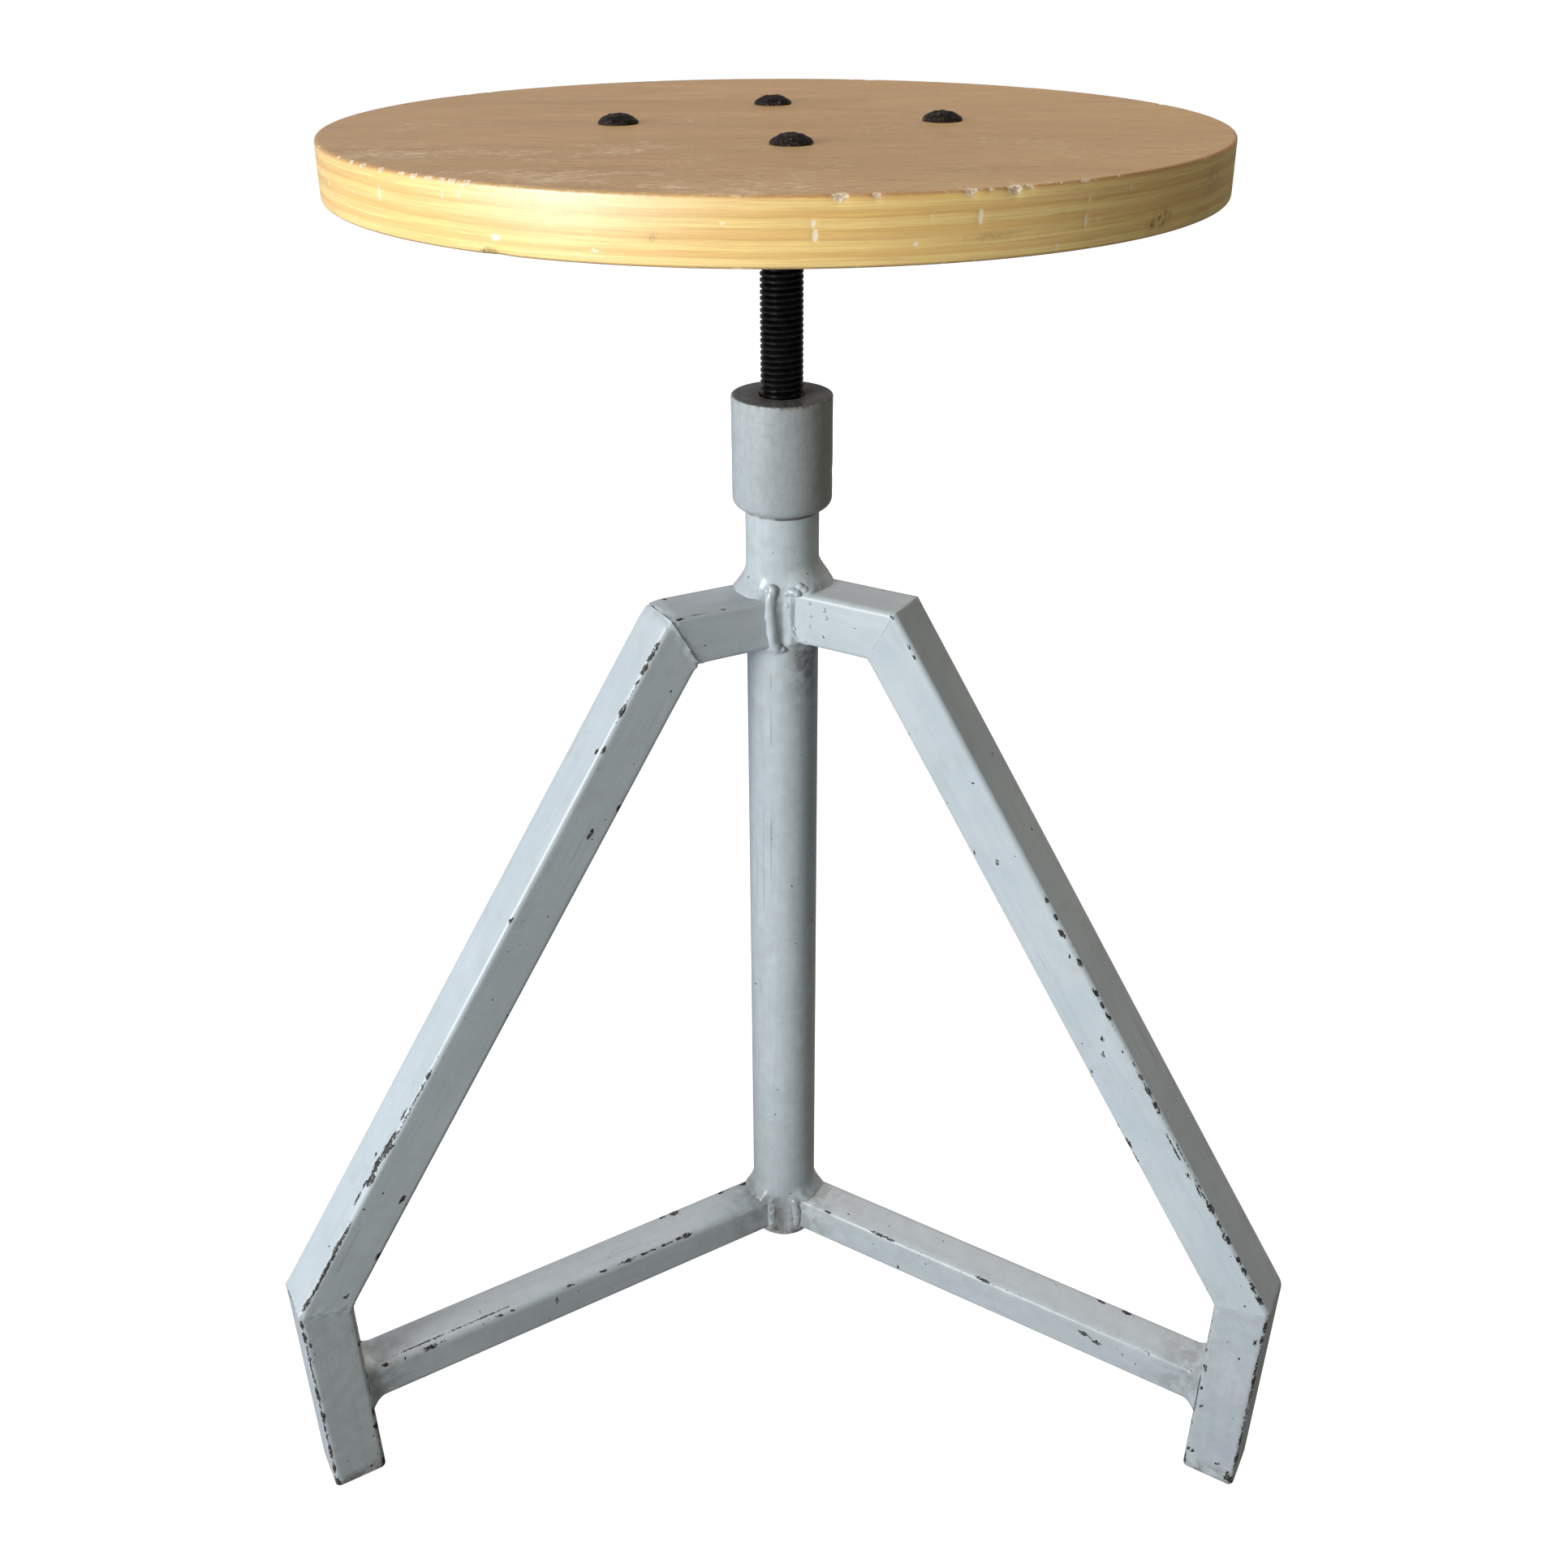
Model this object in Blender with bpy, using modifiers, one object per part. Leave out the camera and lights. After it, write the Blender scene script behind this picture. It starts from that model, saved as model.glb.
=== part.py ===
"""Three-legged workshop stool with a screw-raised swivel seat.

A round plywood seat is bolted to a steel flange on a threaded spindle. The spindle turns in a
threaded collar on top of a round column. Three bent legs of square tube and three lower braces
are welded to the column. Turning the seat raises or lowers it.

Metres, +Z up. The origin is on the floor at the centre of the stool's bounding box.
"""

import math

import bmesh
import bpy
from mathutils import Matrix, Vector

# ---------------------------------------------------------------- driving dimensions
GAP = 0.0003                # clearance between pieces that touch

SEAT_HEIGHT = 0.606         # top of the seat above the floor
SEAT_RADIUS = 0.175
SEAT_THICKNESS = 0.0218
SEAT_EDGE_ROUND = 0.0012
SEAT_CENTRE_RADIUS = 0.045  # the seat's top is one flat face this far out, clear of the bolts

FLANGE_RADIUS = 0.076
FLANGE_THICKNESS = 0.004

BOLT_COUNT = 4
BOLT_CIRCLE_RADIUS = 0.0635
BOLT_TURN = math.radians(3.3)
BOLT_RADIUS = 0.003
BOLT_HEAD_RADIUS = 0.0083
BOLT_HEAD_HEIGHT = 0.0036
BOLT_HEAD_RIM = 0.0006
BOLT_TIP = 0.003            # thread left showing below the nut
NUT_ACROSS_FLATS = 0.010
NUT_THICKNESS = 0.005
WASHER_RADIUS = 0.007
WASHER_THICKNESS = 0.0015

THREAD_RADIUS = 0.009       # spindle's major radius
TRAVEL_UP = 0.100           # how far the seat rises above the modelled height

COLLAR_RADIUS = 0.0216
COLLAR_TOP = 0.497
COLLAR_BOTTOM = 0.4470
COLLAR_TOP_CHAMFER = 0.0008
COLLAR_BOTTOM_ROUND = 0.0045
COLLAR_BORE_CHAMFER = 0.0012

COLUMN_RADIUS = 0.0161
COLUMN_WALL = 0.0026
COLUMN_BOTTOM = 0.0398

STOP_WASHER_THICKNESS = 0.003
STOP_SCREW_RADIUS = 0.004
STOP_SCREW_LENGTH = 0.020
STOP_HEAD_RADIUS = 0.0068
STOP_HEAD_HEIGHT = 0.005
STOP_CLEARANCE = 0.001      # left between stop washer and collar at the highest setting

LEG_AZIMUTHS = [math.radians(a) for a in (-150.0, -30.0, 90.0)]
LEG_SIDE = 0.0243
LEG_WALL = 0.002
LEG_CORNER = 0.0024
ARM_TOP = 0.4116            # height of the arms' upper face
KNEE_REACH = 0.0616         # outer corners, measured from the column's axis
ANKLE_REACH = 0.2568
ANKLE_HEIGHT = 0.1145
FOOT_REACH = 0.2532         # outer edge of the foot on the floor
FOOT_PLATE_THICKNESS = 0.003

BRACE_SIDE = 0.0202
BRACE_WALL = 0.0015
BRACE_CORNER = 0.0032
BRACE_TOP = 0.0632

ROUND_STEPS = 48            # facets around the column, collar and spindle
SMALL_STEPS = 24            # facets around bolts, washers and bolt holes
SEAT_STEPS = 96
CORNER_STEPS = 3            # facets on a square tube's rounded corner

# ---------------------------------------------------------------- worked-out dimensions
# The rear leg reaches further than the seat's front edge, so the column stands off centre.
AXIS_Y = (SEAT_RADIUS - ANKLE_REACH) / 2
AXIS = Vector((0.0, AXIS_Y, 0.0))

SEAT_BOTTOM = SEAT_HEIGHT - SEAT_THICKNESS
FLANGE_TOP = SEAT_BOTTOM - GAP
FLANGE_BOTTOM = FLANGE_TOP - FLANGE_THICKNESS
WASHER_TOP = FLANGE_BOTTOM - GAP
WASHER_BOTTOM = WASHER_TOP - WASHER_THICKNESS
NUT_TOP = WASHER_BOTTOM - GAP
NUT_BOTTOM = NUT_TOP - NUT_THICKNESS
BOLT_HOLE_RADIUS = BOLT_RADIUS + GAP

SPINDLE_TOP = FLANGE_BOTTOM - GAP
SPINDLE_BOTTOM = COLLAR_BOTTOM - STOP_CLEARANCE - TRAVEL_UP
STOP_WASHER_TOP = SPINDLE_BOTTOM - GAP
STOP_WASHER_BOTTOM = STOP_WASHER_TOP - STOP_WASHER_THICKNESS
STOP_HEAD_TOP = STOP_WASHER_BOTTOM - GAP
COLUMN_BORE_RADIUS = COLUMN_RADIUS - COLUMN_WALL
STOP_WASHER_RADIUS = COLUMN_BORE_RADIUS - 2 * GAP

# The leg's outer side as (reach, height) points: arm, knee, ankle, floor.
LEG_OUTER = [
    Vector((0.0, ARM_TOP)),
    Vector((KNEE_REACH, ARM_TOP)),
    Vector((ANKLE_REACH, ANKLE_HEIGHT)),
    Vector((FOOT_REACH, 0.0)),
]

# ---------------------------------------------------------------- materials
MATERIALS = {
    "plywood": ((0.45, 0.29, 0.15), 0.42, 0.0),
    "blue_grey_paint": ((0.50, 0.55, 0.58), 0.38, 0.0),
    "black_steel": ((0.012, 0.012, 0.013), 0.35, 0.6),
    "zinc_steel": ((0.45, 0.45, 0.44), 0.40, 1.0),
}


def material(name):
    """The named material, made on first use."""
    found = bpy.data.materials.get(name)
    if found:
        return found
    colour, roughness, metallic = MATERIALS[name]
    made = bpy.data.materials.new(name)
    made.use_nodes = True
    shader = made.node_tree.nodes["Principled BSDF"]
    shader.inputs["Base Color"].default_value = (*colour, 1.0)
    shader.inputs["Roughness"].default_value = roughness
    shader.inputs["Metallic"].default_value = metallic
    made.diffuse_color = (*colour, 1.0)
    return made


# ---------------------------------------------------------------- scene helpers
def clear_scene():
    for old in list(bpy.data.objects):
        bpy.data.objects.remove(old, do_unlink=True)


def collection(name):
    made = bpy.data.collections.new(name)
    bpy.context.scene.collection.children.link(made)
    return made


def empty(name, location, parts):
    """A plain empty that carries the pieces of one body."""
    made = bpy.data.objects.new(name, None)
    made.location = location
    made.empty_display_size = 0.05
    parts.objects.link(made)
    return made


def add_part(name, mesh, parts, finish, carrier, smooth_angle=35.0):
    """A sub-part whose mesh is laid out about the column's axis, carried by its body's empty."""
    made = bpy.data.objects.new(name, mesh)
    mesh.name = name
    mesh.materials.clear()
    mesh.materials.append(material(finish))
    mesh.shade_smooth()
    mesh.set_sharp_from_angle(angle=math.radians(smooth_angle))
    made.parent = carrier
    parts.objects.link(made)
    return made


def add_cutter(name, mesh, cutters, carrier):
    made = bpy.data.objects.new(name, mesh)
    made.parent = carrier
    made.hide_render = True
    made.display_type = "WIRE"
    cutters.objects.link(made)
    return made


def cut(piece, cutter):
    boolean = piece.modifiers.new("cut_" + cutter.name, "BOOLEAN")
    boolean.operation = "DIFFERENCE"
    boolean.solver = "EXACT"
    boolean.object = cutter


# ---------------------------------------------------------------- shape helpers
def cylinder_mesh(radius, bottom, top, steps, centre=(0.0, 0.0)):
    mesh = bpy.data.meshes.new("cylinder")
    shape = bmesh.new()
    middle = Matrix.Translation((centre[0], centre[1], (bottom + top) / 2))
    bmesh.ops.create_cone(
        shape, cap_ends=True, segments=steps, radius1=radius, radius2=radius,
        depth=top - bottom, matrix=middle,
    )
    shape.to_mesh(mesh)
    shape.free()
    return mesh


def evaluated_mesh(source):
    """The mesh of an object after its modifiers; the object itself is removed."""
    bpy.context.scene.collection.objects.link(source)
    bpy.context.view_layer.update()
    graph = bpy.context.evaluated_depsgraph_get()
    mesh = bpy.data.meshes.new_from_object(source.evaluated_get(graph))
    bpy.data.objects.remove(source, do_unlink=True)
    shape = bmesh.new()
    shape.from_mesh(mesh)
    bmesh.ops.remove_doubles(shape, verts=shape.verts, dist=0.00001)
    shape.to_mesh(mesh)
    shape.free()
    return mesh


def turned_mesh(profile, steps, closed=False):
    """A profile of (radius, height) points, listed down its outer side, turned about Z."""
    outline = bpy.data.meshes.new("profile")
    points = [(radius, 0.0, height) for radius, height in profile]
    edges = [(i, i + 1) for i in range(len(points) - 1)]
    if closed:
        edges.append((len(points) - 1, 0))
    outline.from_pydata(points, edges, [])
    source = bpy.data.objects.new("profile", outline)
    screw = source.modifiers.new("turn", "SCREW")
    screw.steps = steps
    screw.render_steps = steps
    screw.use_merge_vertices = True
    screw.merge_threshold = 0.00001
    return evaluated_mesh(source)


def arc(centre, radius, start, end, steps):
    """Points on an arc about a (radius, height) centre, angles in degrees."""
    angles = [math.radians(start + (end - start) * i / steps) for i in range(steps + 1)]
    return [(centre[0] + radius * math.cos(a), centre[1] + radius * math.sin(a)) for a in angles]


def rounded_square(side, corner, steps):
    half = side / 2 - corner
    points = []
    for quarter, (x, y) in enumerate([(half, half), (-half, half), (-half, -half), (half, -half)]):
        points += arc((x, y), corner, 90.0 * quarter, 90.0 * (quarter + 1), steps)
    return points


def circle(radius, steps):
    return arc((0.0, 0.0), radius, 0.0, 360.0 * (steps - 1) / steps, steps - 1)


def extruded_mesh(outlines, thickness):
    """Flat outlines, the second one a hole in the first, extruded along Z about the middle."""
    curve = bpy.data.curves.new("outline", "CURVE")
    curve.dimensions = "2D"
    curve.fill_mode = "BOTH"
    curve.extrude = thickness / 2
    for outline in outlines:
        spline = curve.splines.new("POLY")
        spline.points.add(len(outline) - 1)
        for point, (x, y) in zip(spline.points, outline):
            point.co = (x, y, 0.0, 1.0)
        spline.use_cyclic_u = True
    return evaluated_mesh(bpy.data.objects.new("outline", curve))


# ---------------------------------------------------------------- leg geometry
def direction(start, end):
    return (end - start).normalized()


def inward(along):
    """The leg's inner side seen along the leg from the column to the floor."""
    return Vector((along.y, -along.x))


def inset_corner(before, corner, after, distance):
    """The point where both sides of a corner, moved inwards by a distance, meet."""
    first = inward(direction(before, corner))
    second = inward(direction(corner, after))
    return corner + (first + second) * distance / (1 + first.dot(second))


def cut_plane(point, normal, setback):
    """A plane in the leg's (reach, height) plane, moved back along its normal."""
    return point - normal * setback, normal


def square_tube_mesh(sections, start, end, start_plane, end_plane, azimuth):
    """A square tube along a centre line in a leg's plane, with both ends cut on given planes."""
    along = direction(start, end)
    aside = inward(along)
    middle = (start + end) / 2
    mesh = extruded_mesh(sections, (end - start).length)
    for vertex in mesh.vertices:
        point, normal = end_plane if vertex.co.z > 0 else start_plane
        reach = (point - middle).dot(normal) - vertex.co.y * aside.dot(normal)
        vertex.co.z = reach / along.dot(normal)
    columns = (
        Vector((0.0, -1.0, 0.0)),
        Vector((aside.x, 0.0, aside.y)),
        Vector((along.x, 0.0, along.y)),
    )
    place = Matrix(columns).transposed().to_4x4()
    place.translation = Vector((middle.x, 0.0, middle.y))
    mesh.transform(Matrix.Rotation(azimuth, 4, "Z") @ place)
    return mesh


def tube_sections(side, wall, corner):
    """Outer and inner outlines of a square tube."""
    outer = rounded_square(side, corner, CORNER_STEPS)
    inner = rounded_square(side - 2 * wall, corner - wall * 0.6, CORNER_STEPS)
    return [outer, inner]


# ---------------------------------------------------------------- seat
def seat_board_mesh():
    """A disc whose top face has a separate middle face inside the circle of bolts."""
    mesh = cylinder_mesh(SEAT_RADIUS, SEAT_BOTTOM, SEAT_HEIGHT, SEAT_STEPS)
    shape = bmesh.new()
    shape.from_mesh(mesh)
    top_face = max(shape.faces, key=lambda face: face.calc_center_median().z)
    bmesh.ops.inset_region(
        shape, faces=[top_face], thickness=SEAT_RADIUS - SEAT_CENTRE_RADIUS, use_even_offset=True
    )
    shape.to_mesh(mesh)
    shape.free()
    return mesh


def build_seat_board(parts, cutters, carrier):
    mesh = seat_board_mesh()
    board = add_part("seat_board", mesh, parts, "plywood", carrier)
    bevel = board.modifiers.new("edge_round", "BEVEL")
    bevel.width = SEAT_EDGE_ROUND
    bevel.segments = 2
    bevel.limit_method = "ANGLE"
    bevel.angle_limit = math.radians(60)
    drill_bolt_holes(board, "board_hole", SEAT_BOTTOM, SEAT_HEIGHT, cutters, carrier)


def build_seat_flange(parts, cutters, carrier):
    mesh = cylinder_mesh(FLANGE_RADIUS, FLANGE_BOTTOM, FLANGE_TOP, ROUND_STEPS)
    flange = add_part("seat_flange", mesh, parts, "black_steel", carrier)
    drill_bolt_holes(flange, "flange_hole", FLANGE_BOTTOM, FLANGE_TOP, cutters, carrier)


def bolt_centre(index):
    angle = BOLT_TURN + index * 2 * math.pi / BOLT_COUNT
    return BOLT_CIRCLE_RADIUS * math.cos(angle), BOLT_CIRCLE_RADIUS * math.sin(angle)


def drill_bolt_holes(piece, name, bottom, top, cutters, carrier):
    for index in range(BOLT_COUNT):
        mesh = cylinder_mesh(
            BOLT_HOLE_RADIUS, bottom - 0.005, top + 0.005, SMALL_STEPS, bolt_centre(index)
        )
        cut(piece, add_cutter(f"{name}_{index + 1}", mesh, cutters, carrier))


def bolt_mesh():
    """A mushroom-head bolt hanging from the seat's upper face."""
    underside = SEAT_HEIGHT + GAP
    rise = BOLT_HEAD_HEIGHT - BOLT_HEAD_RIM
    dome_radius = (BOLT_HEAD_RADIUS**2 + rise**2) / (2 * rise)
    dome_centre = (0.0, underside + BOLT_HEAD_HEIGHT - dome_radius)
    edge_angle = math.degrees(math.acos(BOLT_HEAD_RADIUS / dome_radius))
    profile = arc(dome_centre, dome_radius, 90.0, edge_angle, 5)
    profile[0] = (0.0, underside + BOLT_HEAD_HEIGHT)
    profile += [
        (BOLT_HEAD_RADIUS, underside),
        (BOLT_RADIUS, underside),
        (BOLT_RADIUS, NUT_BOTTOM - BOLT_TIP),
        (0.0, NUT_BOTTOM - BOLT_TIP),
    ]
    return turned_mesh(profile, SMALL_STEPS)


def washer_mesh():
    profile = [
        (WASHER_RADIUS, WASHER_TOP),
        (WASHER_RADIUS, WASHER_BOTTOM),
        (BOLT_HOLE_RADIUS, WASHER_BOTTOM),
        (BOLT_HOLE_RADIUS, WASHER_TOP),
    ]
    return turned_mesh(profile, SMALL_STEPS, closed=True)


def nut_mesh():
    corner_radius = NUT_ACROSS_FLATS / 2 / math.cos(math.radians(30))
    outlines = [circle(corner_radius, 6), circle(BOLT_HOLE_RADIUS, SMALL_STEPS)]
    mesh = extruded_mesh(outlines, NUT_THICKNESS)
    mesh.transform(Matrix.Translation((0.0, 0.0, (NUT_TOP + NUT_BOTTOM) / 2)))
    return mesh


def build_seat_fasteners(parts, carrier):
    kinds = [
        ("seat_bolt", bolt_mesh(), "black_steel"),
        ("seat_washer", washer_mesh(), "zinc_steel"),
        ("seat_nut", nut_mesh(), "zinc_steel"),
    ]
    for name, mesh, finish in kinds:
        for index in range(BOLT_COUNT):
            piece = add_part(f"{name}_{index + 1}", mesh, parts, finish, carrier)
            piece.location = (*bolt_centre(index), 0.0)


def build_spindle(parts, carrier):
    hole_top = SPINDLE_BOTTOM + STOP_SCREW_LENGTH
    hole_radius = STOP_SCREW_RADIUS + GAP
    profile = [
        (0.0, SPINDLE_TOP),
        (THREAD_RADIUS, SPINDLE_TOP),
        (THREAD_RADIUS, SPINDLE_BOTTOM),
        (hole_radius, SPINDLE_BOTTOM),
        (hole_radius, hole_top),
        (0.0, hole_top),
    ]
    add_part("spindle", turned_mesh(profile, ROUND_STEPS), parts, "black_steel", carrier)


def build_stop_screw(parts, carrier):
    head_bottom = STOP_HEAD_TOP - STOP_HEAD_HEIGHT
    shank_top = SPINDLE_BOTTOM + STOP_SCREW_LENGTH - GAP
    profile = [
        (0.0, shank_top),
        (STOP_SCREW_RADIUS, shank_top),
        (STOP_SCREW_RADIUS, STOP_HEAD_TOP),
        (STOP_HEAD_RADIUS, STOP_HEAD_TOP),
        (STOP_HEAD_RADIUS, head_bottom),
        (0.0, head_bottom),
    ]
    add_part("stop_screw", turned_mesh(profile, SMALL_STEPS), parts, "zinc_steel", carrier)


def build_stop_washer(parts, carrier):
    hole_radius = STOP_SCREW_RADIUS + GAP
    profile = [
        (STOP_WASHER_RADIUS, STOP_WASHER_TOP),
        (STOP_WASHER_RADIUS, STOP_WASHER_BOTTOM),
        (hole_radius, STOP_WASHER_BOTTOM),
        (hole_radius, STOP_WASHER_TOP),
    ]
    mesh = turned_mesh(profile, ROUND_STEPS, closed=True)
    add_part("stop_washer", mesh, parts, "zinc_steel", carrier)


# ---------------------------------------------------------------- frame
def build_collar(parts, carrier):
    bore_radius = THREAD_RADIUS + GAP
    low_centre = (COLLAR_RADIUS - COLLAR_BOTTOM_ROUND, COLLAR_BOTTOM + COLLAR_BOTTOM_ROUND)
    profile = [
        (COLLAR_RADIUS - COLLAR_TOP_CHAMFER, COLLAR_TOP),
        (COLLAR_RADIUS, COLLAR_TOP - COLLAR_TOP_CHAMFER),
    ]
    profile += arc(low_centre, COLLAR_BOTTOM_ROUND, 0.0, -90.0, 4)
    profile += [
        (bore_radius, COLLAR_BOTTOM),
        (bore_radius, COLLAR_TOP - COLLAR_BORE_CHAMFER),
        (bore_radius + COLLAR_BORE_CHAMFER, COLLAR_TOP),
    ]
    mesh = turned_mesh(profile, ROUND_STEPS, closed=True)
    add_part("collar", mesh, parts, "blue_grey_paint", carrier)


def build_column(parts, carrier):
    top = COLLAR_BOTTOM - GAP
    profile = [
        (COLUMN_RADIUS, top),
        (COLUMN_RADIUS, COLUMN_BOTTOM),
        (COLUMN_BORE_RADIUS, COLUMN_BOTTOM),
        (COLUMN_BORE_RADIUS, top),
    ]
    mesh = turned_mesh(profile, ROUND_STEPS, closed=True)
    add_part("column", mesh, parts, "blue_grey_paint", carrier)


def build_legs(parts, cutters, carrier):
    arm, knee, ankle, floor = LEG_OUTER
    half = LEG_SIDE / 2
    knee_middle = inset_corner(arm, knee, ankle, half)
    ankle_middle = inset_corner(knee, ankle, floor, half)
    foot_along = direction(ankle, floor)
    floor_middle = floor + inward(foot_along) * half
    arm_start = Vector((0.004, knee_middle.y))
    knee_cut = (direction(arm, knee) + direction(knee, ankle)).normalized()
    ankle_cut = (direction(knee, ankle) + foot_along).normalized()
    level = Vector((0.0, -1.0))
    plate_top = Vector((0.0, FOOT_PLATE_THICKNESS))

    sections = tube_sections(LEG_SIDE, LEG_WALL, LEG_CORNER)
    brace_sections = tube_sections(BRACE_SIDE, BRACE_WALL, BRACE_CORNER)
    brace_height = BRACE_TOP - BRACE_SIDE / 2
    foot_inside = inward(foot_along)
    brace_end = floor + foot_inside * LEG_SIDE

    outward = Vector((1.0, 0.0))
    runs = [
        ("leg_arm", sections, arm_start, knee_middle,
         (arm_start, outward), cut_plane(knee_middle, knee_cut, GAP / 2)),
        ("leg_strut", sections, knee_middle, ankle_middle,
         cut_plane(knee_middle, -knee_cut, GAP / 2), cut_plane(ankle_middle, ankle_cut, GAP / 2)),
        ("leg_foot", sections, ankle_middle, floor_middle,
         cut_plane(ankle_middle, -ankle_cut, GAP / 2), cut_plane(plate_top, level, GAP)),
        ("foot_plate", sections[:1], ankle_middle, floor_middle,
         (plate_top, level), (floor, level)),
        ("brace", brace_sections, Vector((0.004, brace_height)), Vector((FOOT_REACH, brace_height)),
         (arm_start, outward), cut_plane(brace_end, -foot_inside, GAP)),
    ]
    clearance = cylinder_mesh(COLUMN_RADIUS + GAP, 0.0, COLLAR_BOTTOM, ROUND_STEPS)
    column_space = add_cutter("column_space", clearance, cutters, carrier)
    for number, azimuth in enumerate(LEG_AZIMUTHS, start=1):
        for name, outlines, start, end, start_plane, end_plane in runs:
            mesh = square_tube_mesh(outlines, start, end, start_plane, end_plane, azimuth)
            piece = add_part(f"{name}_{number}", mesh, parts, "blue_grey_paint", carrier)
            if name in ("leg_arm", "brace"):
                cut(piece, column_space)


# ---------------------------------------------------------------- assembly
def build_stool():
    clear_scene()
    parts = collection("adjustable_swivel_stool")
    cutters = collection("cutters")
    frame = empty("frame_body", AXIS, parts)
    guide = empty("guide_body", AXIS, parts)
    seat = empty("seat_body", AXIS, parts)
    build_collar(parts, frame)
    build_column(parts, frame)
    build_legs(parts, cutters, frame)
    build_stop_washer(parts, guide)
    build_spindle(parts, seat)
    build_stop_screw(parts, seat)
    build_seat_flange(parts, cutters, seat)
    build_seat_board(parts, cutters, seat)
    build_seat_fasteners(parts, seat)


build_stool()
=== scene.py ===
"""Looks of the adjustable swivel stool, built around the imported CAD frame.

Metres, +Z up. Every piece rides on the CAD body that it belongs to.
"""

import math
import random

import bmesh
import bpy
import numpy as np
from mathutils import Matrix, Vector, noise


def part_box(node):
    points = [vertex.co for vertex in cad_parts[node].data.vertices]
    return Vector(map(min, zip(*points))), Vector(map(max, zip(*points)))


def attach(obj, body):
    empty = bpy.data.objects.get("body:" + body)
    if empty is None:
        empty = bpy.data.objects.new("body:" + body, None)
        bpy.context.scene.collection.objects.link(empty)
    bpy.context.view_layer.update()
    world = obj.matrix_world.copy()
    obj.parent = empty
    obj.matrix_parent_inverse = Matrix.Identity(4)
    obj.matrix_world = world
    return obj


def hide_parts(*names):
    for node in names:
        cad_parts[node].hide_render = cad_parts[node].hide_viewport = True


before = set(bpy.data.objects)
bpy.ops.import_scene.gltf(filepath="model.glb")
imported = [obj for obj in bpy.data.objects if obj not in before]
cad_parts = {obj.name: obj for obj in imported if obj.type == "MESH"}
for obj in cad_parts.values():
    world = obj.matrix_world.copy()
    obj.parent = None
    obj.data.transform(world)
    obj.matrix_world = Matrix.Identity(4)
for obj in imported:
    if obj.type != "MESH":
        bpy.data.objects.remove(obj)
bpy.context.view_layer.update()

# ---------------------------------------------------------------- places, from the frame
MM = 0.001
COLUMN_LOW, COLUMN_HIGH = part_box("column")
AXIS = Vector(((COLUMN_LOW.x + COLUMN_HIGH.x) / 2, (COLUMN_LOW.y + COLUMN_HIGH.y) / 2, 0.0))
COLUMN_RADIUS = (COLUMN_HIGH.x - COLUMN_LOW.x) / 2
COLUMN_WALL = 2.6 * MM
SEAT_LOW, SEAT_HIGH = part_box("seat_board")
SEAT_RADIUS = (SEAT_HIGH.x - SEAT_LOW.x) / 2
COLLAR_LOW, COLLAR_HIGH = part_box("collar")
COLLAR_RADIUS = (COLLAR_HIGH.x - COLLAR_LOW.x) / 2
SPINDLE_LOW, SPINDLE_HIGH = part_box("spindle")
THREAD_RADIUS = (SPINDLE_HIGH.x - SPINDLE_LOW.x) / 2

LEG_AZIMUTHS = {1: math.radians(-150), 2: math.radians(-30), 3: math.radians(90)}
LEG_CORNER = 2.4 * MM
BRACE_CORNER = 3.2 * MM


def reach(node):
    """How far a rear node stands out from the column's axis."""
    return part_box(node)[1].y - AXIS.y


def width(node):
    low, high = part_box(node)
    return high.x - low.x


LEG_SIDE = width("leg_strut_3")
BRACE_SIDE = width("brace_3")
ARM_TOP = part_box("leg_arm_3")[1].z
BRACE_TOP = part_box("brace_3")[1].z
KNEE = np.array([reach("leg_arm_3"), ARM_TOP])
ANKLE = np.array([reach("leg_strut_3"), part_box("leg_foot_3")[1].z])
FOOT = np.array([reach("foot_plate_3"), 0.0])


# ---------------------------------------------------------------- mesh helpers
def signed_volume(points, faces):
    """Six times the volume that the faces enclose, positive when they face outwards."""
    corners = np.array([(f[0], f[i], f[i + 1]) for f in faces for i in range(1, len(f) - 1)])
    first, second, third = (points[corners[:, i]] for i in range(3))
    return float(np.einsum("ij,ij->", first, np.cross(second, third)))


def add_piece(name, points, faces, finish, body, stands_for=(), values=None, crease=40.0):
    """A mesh piece that rides on a body, takes a finish and stands for some CAD nodes."""
    points = np.asarray(points, float).reshape(-1, 3)
    if signed_volume(points - points.mean(0), faces) < 0:
        faces = [list(reversed(face)) for face in faces]
    mesh = bpy.data.meshes.new(name)
    mesh.from_pydata(points.tolist(), [], faces)
    for key, data in (values or {}).items():
        data = np.asarray(data, np.float32).reshape(len(points), -1)
        kind, field = ("FLOAT_VECTOR", "vector") if data.shape[1] == 3 else ("FLOAT", "value")
        mesh.attributes.new(key, kind, "POINT").data.foreach_set(field, data.ravel())
    mesh.materials.append(finish)
    mesh.shade_smooth()
    mesh.set_sharp_from_angle(angle=math.radians(crease))
    made = bpy.data.objects.new(name, mesh)
    bpy.context.scene.collection.objects.link(made)
    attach(made, body)
    if stands_for:
        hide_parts(*stands_for)
    return made


def ring_faces(rows, columns, closed=False):
    """Quads between rings of points. Each ring is closed; closed joins the last ring to the first."""
    faces = []
    for row in range(rows if closed else rows - 1):
        here = row * columns
        above = ((row + 1) % rows) * columns
        for i in range(columns):
            j = (i + 1) % columns
            faces.append([here + i, here + j, above + j, above + i])
    return faces


def strip_cap(first, count):
    """Closes a ring that is symmetric about its own first point, in strips across it."""
    faces = []
    for i in range(count // 2):
        strip = [i, i + 1, count - i - 1, (count - i) % count]
        faces.append([first + k for k in dict.fromkeys(strip)])
    return faces


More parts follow.
